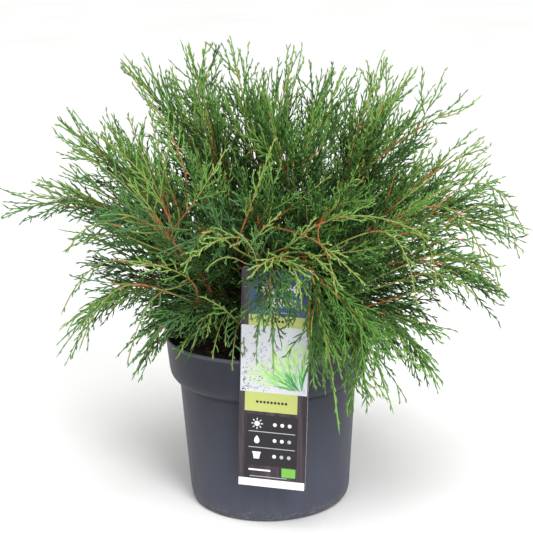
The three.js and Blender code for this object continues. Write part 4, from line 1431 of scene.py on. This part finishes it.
# the largest of the shares at which a child's end and middle have room; children without room are dropped
def fitChildren(curves, shares, mass):
    kept = np.zeros(len(curves))
    for share in shares:
        todo = np.flatnonzero(kept == 0)
        end = curvePoint(curves[todo], np.full(len(todo), share))
        middle = curvePoint(curves[todo], np.full(len(todo), share * 0.5))
        kept[todo[hasRoom(end) & hasRoom(middle) & inReach(end, mass[todo])]] = share
    return kept


# all that carries branchlets: the sprays, then the stems from a third of the way out, like long sprays, and
# the shown stems, flat towards the camera
def gatherSpines(sprays):
    bare = foliage["bare"]
    aslant = [[0.31, 0.17, 0]]
    stemFace = unit(np.cross(curveTangent(stemCurves, np.full(massCount, 0.5)), aslant))
    along = curveTangent(shownCurves, np.full(shownCount, 0.5))
    toCamera = unit(shownEye - shownCurves[:, 1])
    shownFace = unit(toCamera - along * (toCamera * along).sum(1, keepdims=True))
    chords = [np.linalg.norm(curves[:, 2] - curves[:, 0], axis=1) for curves in (stemCurves, shownCurves)]
    nearest = distanceToLines(shownCurves[:, 2], stemMarks, marksPerStem).argmin(1)
    return {
        "curve": np.concatenate([bendSpines(sprays), stemCurves, shownCurves]),
        "face": np.concatenate([unit(np.cross(sprays["direction"], sprays["flat"])), stemFace, shownFace]),
        "size": np.concatenate([sprays["size"], *chords]),
        "mass": np.concatenate([sprays["mass"], np.arange(massCount), nearest]),
        "inner": np.concatenate([sprays["inner"], np.zeros(massCount + shownCount, bool)]),
        "bare": np.concatenate([np.full(len(sprays["size"]), bare["spray"]), np.full(massCount, bare["stem"]),
                                shownBare * bare["shown"]]),
    }


# branchlets in two ranks on each spine. Their reach is a share of its size, which falls towards the end and
# is cut short over the last third, and some stay nubs
def growBranchlets(spines):
    f, size = foliage, spines["size"]
    spray, i = childrenOf(np.maximum(5, np.round(size * (1 - spines["bare"]) / f["pitch"])).astype(int))
    count = len(spray)
    shown = spray >= len(size) - shownCount
    number = np.bincount(spray)[spray]
    play = rng.uniform(-f["pitchPlay"], f["pitchPlay"], count)
    at = lerp(spines["bare"][spray], f["lastBranchlet"], (i + 0.5 + play) / number)
    slim = rng.uniform(*f["branchletVary"], len(size))
    envelope = (np.minimum(size * f["branchletShare"], f["longestBranchlet"]) * slim)[spray]
    envelope = envelope * (1 - f["taper"] * at) * np.where(shown, f["shownBranchlet"], 1)
    reach = envelope * np.clip((1.0 - at) / f["cutShortOver"], 0.1, 1) * np.clip((at + 0.1) / 0.2, 0.5, 1)
    reach = np.maximum(reach * rng.uniform(*f["branchletPlay"], count), f["shortestBranchlet"])
    # a mass opens towards its end, where more and more branchlets are no more than nubs
    mass = spines["mass"][spray]
    start = curvePoint(spines["curve"][spray], at)
    foot, chord = stemCurves[mass, 0], (stemCurves[:, 2] - stemCurves[:, 0])[mass]
    outward = ((start - foot) * chord).sum(1) / (chord ** 2).sum(1)
    opened = np.clip((outward - f["opensFrom"]) / f["opensOver"], 0, 1)
    grown = lerp(1, f["openness"] * massThickness[mass], opened)
    grown = np.where(shown, f["shownGrown"], grown)
    nubs = (rng.random(count) > grown) | (at > f["nubsFrom"])
    reach = np.where(nubs, np.minimum(reach, rng.uniform(*f["nub"], count)), reach)
    wide = np.radians(f["lean"][0] + rng.normal(0, f["lean"][1], count))
    narrow = np.radians(f["endLean"][0] + rng.normal(0, f["endLean"][1], count))
    tilt = rng.normal(0, f["branchletTilt"], count)
    droop = rng.uniform(*f["branchletDroop"], count) - f["branchletLift"] * standing(start)
    curves, faces = childCurves(spines["curve"][spray], spines["face"][spray], at, np.where(i % 2, -1.0, 1.0),
                                reach, wide, narrow, tilt, droop)
    share = fitChildren(curves, f["branchletShares"], mass)
    keep = share > 0
    keep[keep] = ~(beforeShown(curves[keep, 0]) | beforeShown(curves[keep, 1]) | beforeShown(curves[keep, 2]))
    keep |= (share > 0) & shown
    return {
        "curve": curvePart(curves[keep], np.zeros(keep.sum()), share[keep]),
        "face": faces[keep],
        "spray": spray[keep],
        "shown": shown[keep],
        "at": at[keep],
        "reach": (reach * share)[keep],
    }


# shoots in two ranks on the longer branchlets, each about a third as long as its branchlet
def growShoots(branchlets):
    f, reach = foliage, branchlets["reach"]
    counts = np.where(reach > f["shootsFrom"], np.round(reach / f["shootPitch"]), 0)
    parent, j = childrenOf(counts.astype(int))
    count = len(parent)
    number = np.bincount(parent, minlength=len(reach))[parent]
    play = rng.uniform(-f["pitchPlay"], f["pitchPlay"], count)
    on = f["shootAlong"][0] + f["shootAlong"][1] * (j + 0.5 + play) / number
    length = np.clip(f["shootShare"] * reach[parent] * (1 - f["shootTaper"] * on), *f["shootLength"])
    length = length * rng.uniform(*f["shootVary"], count)
    turn = np.radians(rng.normal(*f["shootLean"], count))
    tilt, droop = rng.normal(0, f["shootTilt"], count), rng.uniform(*f["shootDroop"], count)
    curves, faces = childCurves(branchlets["curve"][parent], branchlets["face"][parent], on,
                                np.where(j % 2, -1.0, 1.0), length, turn, turn * f["shootEndLean"],
                                tilt, droop)
    keep = hasRoom(curves[:, 2])
    keep &= ~beforeShown(curves[:, 2]) | branchlets["shown"][parent]
    return {"curve": curves[keep], "face": faces[keep], "parent": parent[keep]}


# wood or green as rings of corners along a curve: the radius runs from root to end in a straight line, with a
# bead on every other ring
def shapeShoots(curves, face, rootRadius, endRadius, rings, bead, sides=3):
    t = np.arange(rings) / rings
    wide = 1 + bead * np.where(np.arange(rings) % 2, 1, -0.6)
    rootRadius, endRadius = (np.broadcast_to(r, len(curves))[:, None] for r in (rootRadius, endRadius))
    radius = lerp(rootRadius, endRadius, t[None]) * wide
    return carryRings(alongEach(curves, t), curves[:, 2], radius, face, sides, 0.8)


# tones of the foliage from the shade to the light, dealt out by spray, and a cooler one low and left
tones = {
    "shadeGreen": "#2a4519",
    "deepGreen": "#3b5f27",
    "grassGreen": "#5a883a",
    "freshGreen": "#6d9644",
    "limeGreen": "#84a453",
    "coolGreen": "#54804b",
}
lightest, coolTone = 4, 5  # their places in the list
# how much each thing counts for the tone, and where it holds, in mm
shading = {
    "halfWidths": (185, 240),  # the crown's, at the first height and from the second
    "widensBetween": (140, 260),
    "heart": 200,
    "halfHeight": 220,
    "outward": 0.88,
    "play": 0.66,
    "inner": 0.25,
    "lowRight": 0.17,
    "lowRightFrom": (60, 340),  # further right than this and lower
    "lowRightOver": (80, 60),
    "toTone": (4.4, 0.65),  # tone = exposure x the first - the second
    "tipsFrom": 0.78,  # beyond this share of their spray most branchlets are a tone lighter
    "tipsPlay": 0.08,
    "tipsShare": 0.8,
    "coolRight": 30,
    "coolTop": 320,
    "coolShare": 0.65,
}
# thin wood. A spine longer than the first length is woody from its root, by a share that grows over the
# next length, and young over a further share
thinWood = {
    "woodyFrom": 30,
    "woodyOver": 170,
    "woodyMost": 0.45,
    "woodyVary": (0.5, 1.2),
    "leastWoody": 0.04,  # what is woody for less is made young altogether
    "youngOver": (0.12, 0.4),
    "greenBy": 0.8,
    "lengthPerRadius": 105,
    "rootRadii": (0.62, 1.15),
    "leafyBelow": 0.3,  # shown stems that are bare for less than this share count as leafy
    "linkBend": 0.45,  # where along a link it bends into its shown stem
}
# bark of the thin wood by its age: groove, ridge, and how wide a ridge is in mm
twigBarks = {
    "youngBark": ("#874a26", "#cd8749", 1.1),
    "orangeBark": ("#74401f", "#b87842", 1.1),
    "oliveBark": ("#6f7a34", "#96924a", 1.0),
    "greenBark": ("#76873a", "#a2a650", 1.0),
    "amberBark": ("#a06a2c", "#d0a24c", 1.0),
}


# scale leaves: leathery and half glossy, with rows of tiny scales about 1.3 mm long, in one plain colour
def leafFinish(name, code):
    material, tree, shader, place = startMaterial(name)
    scales = addNode(tree, "ShaderNodeTexVoronoi", {"Vector": place, "Scale": 770.0})
    gloss = addNode(tree, "ShaderNodeMapRange", {"Value": scales.outputs["Distance"], "From Max": 0.8,
                                                 "To Min": 0.42, "To Max": 0.66})
    bump = addNode(tree, "ShaderNodeBump", {"Height": scales.outputs["Distance"], "Strength": 0.5,
                                            "Distance": 0.0004})
    fillInputs(tree, shader, {"Base Color": linearColour(code), "Roughness": gloss.outputs[0],
                              "Normal": bump.outputs[0], "IOR": 1.42})
    return material


# makes one joined piece of the lots, or several when it would pass the most triangles
def makeFoliagePieces(name, lots, material, slot):
    part, weight, number = [], 0, 1
    for lot in lots + [None]:
        faces = 0 if lot is None else 2 * len(lot[1]) + len(lot[2])
        if part and (lot is None or weight + faces > foliage["mostTriangles"]):
            makePiece(f"{name}_{number}", *joinLots(part), material, slot, massNodes)
            print(name, number, "has", weight, "triangles")
            part, weight, number = [], 0, number + 1
        if lot is not None:
            part, weight = part + [lot], weight + faces


# thin wood of one age
def makeTwigs(name, bark, *lots):
    makeFoliagePieces(name, list(lots), barkFinish(bark, *twigBarks[bark]), "bark")


# tone of each spray, branchlet and shoot: paler outside, by the tip's distance from the crown's heart as a
# share of the crown's half axes, give or take a third, and darker inside and at the lower right
def dealTones(spines, branchlets, shoots):
    s, tip, spray, at = shading, spines["curve"][:, 2], branchlets["spray"], branchlets["at"]
    narrowAt, wideFrom = s["widensBetween"]
    halfWide = lerp(*s["halfWidths"], np.clip((tip[:, 2] - narrowAt) / (wideFrom - narrowAt), 0, 1))
    rise = np.maximum(tip[:, 2] - s["heart"], 0) / s["halfHeight"]
    outward = np.hypot(np.hypot(tip[:, 0], tip[:, 1]) / halfWide, rise)
    (right, top), (rightOver, topOver) = s["lowRightFrom"], s["lowRightOver"]
    shaded = np.clip((tip[:, 0] - right) / rightOver, 0, 1) * np.clip((top - tip[:, 2]) / topOver, 0, 1)
    exposure = s["outward"] * outward + s["play"] * (rng.random(len(tip)) - 0.5)
    exposure = exposure - s["inner"] * spines["inner"] - s["lowRight"] * shaded
    tone = np.clip(np.floor(exposure * s["toTone"][0] - s["toTone"][1]), 0, lightest).astype(int)
    tone[-shownCount:] = shownTone
    low = (tip[:, 0] < s["coolRight"]) & (tip[:, 2] < s["coolTop"]) & ((tone == 2) | (tone == 3))
    tone[low & (rng.random(len(tip)) < s["coolShare"])] = coolTone
    lighter = at + rng.normal(0, s["tipsPlay"], len(at)) > s["tipsFrom"]
    lighter &= rng.random(len(at)) < s["tipsShare"]
    branchletTone = np.where(tone[spray] == coolTone, coolTone, np.clip(tone[spray] + lighter, 0, lightest))
    return tone, branchletTone, branchletTone[shoots["parent"]]


# the shown stems: bare wood, then olive ends. Each comes off a near limb that lies behind it, in a curve that
# runs on into it: the mark for which 1.2 distance - step along the stem's direction is least
def makeShownStems(face):
    inwards = stemMarks.reshape(massCount, marksPerStem, 3)[:, :marksPerStem // 2]
    marks = np.concatenate([boughMarks, inwards.reshape(-1, 3)])
    onward = curveTangent(shownCurves, np.zeros(shownCount))
    steps = shownCurves[:, 0, None] - marks
    begin = marks[(1.2 * np.linalg.norm(steps, axis=2) - (steps * onward[:, None]).sum(2)).argmin(1)]
    reach = np.linalg.norm(shownCurves[:, 0] - begin, axis=1, keepdims=True)
    bend = shownCurves[:, 0] - onward * reach * thinWood["linkBend"]
    links = np.stack([begin, bend, shownCurves[:, 0]], 1)
    # the links of mostly leafy ones are olive like their ends, and the others are orange
    leafy = shownBare < thinWood["leafyBelow"]
    leafyLinks, bareLinks = (
        shapeShoots(links[some], face[some], shownRadius[some] * 1.1, shownRadius[some],
                    rings=10, bead=0.05, sides=8)
        for some in (leafy, ~leafy))
    bareWood = curvePart(shownCurves, np.zeros(shownCount), shownBare)
    ends = curvePart(shownCurves, shownBare * 0.98, np.ones(shownCount))
    makeTwigs("shownWood", "orangeBark", bareLinks,
              shapeShoots(bareWood, face, shownRadius, 0.6, rings=30, bead=0.05, sides=8))
    makeTwigs("shownEnds", "oliveBark", leafyLinks,
              shapeShoots(ends, face, 0.6, 0.5, rings=20, bead=0.06, sides=6))


# thin wood: a spine is woody from the root for a share that grows with its length, then young, and yellow
# green or amber. Stems likewise. Gives where on each spine the young wood ends and the green begins
def makeThinWood(spine, face, size, shownFace):
    f, w, count = foliage, thinWood, len(size)
    woody = np.clip((size - w["woodyFrom"]) / w["woodyOver"], 0, w["woodyMost"])
    woody = woody * rng.uniform(*w["woodyVary"], count)
    rootRadius = np.clip(size / w["lengthPerRadius"], *w["rootRadii"])
    bareRoot = woody > w["leastWoody"]
    wood = curvePart(spine[bareRoot], np.zeros(bareRoot.sum()), woody[bareRoot] + 0.02)
    woodEnd = np.array([f["greenStems"].get(name, f["woodEnds"]) for name in massNames])
    stemWood = curvePart(stemCurves, np.zeros(massCount), woodEnd)
    stemFace = np.tile(up, (massCount, 1))
    makeTwigs("twigs", "youngBark",
              shapeShoots(wood, face[bareRoot], rootRadius[bareRoot], rootRadius[bareRoot] * 0.8,
                          rings=6, bead=0.05, sides=5),
              shapeShoots(stemWood, stemFace, limbShape["stemRoot"], 0.95, rings=26, bead=0.04, sides=8))
    makeShownStems(shownFace)
    ripe = np.minimum(woody + rng.uniform(*w["youngOver"], count), w["greenBy"])
    youngSpine = curvePart(spine, np.maximum(woody - 0.01, 0), ripe)
    youngStem = curvePart(stemCurves, woodEnd - 0.02, np.full(massCount, f["greenFrom"] + 0.02))
    amber = rng.random(count) < f["amberShare"]
    youngLot, amberLot = (
        shapeShoots(youngSpine[some], face[some], rootRadius[some] * 0.85, 0.66, rings=5, bead=0.06, sides=4)
        for some in (~amber, amber))
    makeTwigs("youngTwigs", "greenBark", youngLot,
              shapeShoots(youngStem, stemFace, 0.95, 0.75, rings=10, bead=0.05, sides=6))
    makeTwigs("amberTwigs", "amberBark", amberLot)
    return ripe


# the foliage: first the thin wood, then for each tone the green ends of spines and stems, the branchlets and
# the shoots
def makeFoliage():
    f = foliage
    spines = gatherSpines(plantSprays())
    branchlets = growBranchlets(spines)
    shoots = growShoots(branchlets)
    for name, plants in (("spines", spines), ("branchlets", branchlets), ("shoots", shoots)):
        print(len(plants["face"]), name)
    tone, branchletTone, shootTone = dealTones(spines, branchlets, shoots)
    sprayCount = len(tone) - massCount - shownCount
    spine, face, size = (spines[name][:sprayCount] for name in ("curve", "face", "size"))
    ripe = makeThinWood(spine, face, size, spines["face"][-shownCount:])
    greenSpine = curvePart(spine, ripe - 0.01, np.ones(sprayCount))
    greenStem = curvePart(stemCurves, np.full(massCount, f["greenFrom"]), np.ones(massCount))
    stemFace = np.tile(up, (massCount, 1))
    thick, thin = f["branchletRadius"], f["shootRadius"]
    for number, (name, code) in enumerate(tones.items()):
        some, twos = tone[:sprayCount] == number, branchletTone == number
        threes = np.flatnonzero(shootTone == number)
        lots = [shapeShoots(greenSpine[some], face[some], 0.66, 0.5, rings=8, bead=0.1, sides=4)]
        if name == "freshGreen":
            lots.append(shapeShoots(greenStem, stemFace, 0.78, limbShape["stemTip"], rings=8, bead=0.05,
                                    sides=6))
        lots.append(shapeShoots(branchlets["curve"][twos], branchlets["face"][twos], thick * 1.1,
                                thick * 0.75, rings=6, bead=0.1))
        for lot in np.array_split(threes, max(1, len(threes) // f["shootsPerLot"])):
            lots.append(shapeShoots(shoots["curve"][lot], shoots["face"][lot], thin * 0.9, thin * 1.15,
                                    rings=2, bead=0.0))
        makeFoliagePieces(name, lots, leafFinish(name, code), f["slot"])


makeFoliage()
print("foliage made")

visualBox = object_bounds()
({"cad": [list(corner) for corner in cadBox],
           "visual": [list(corner) for corner in visualBox]})
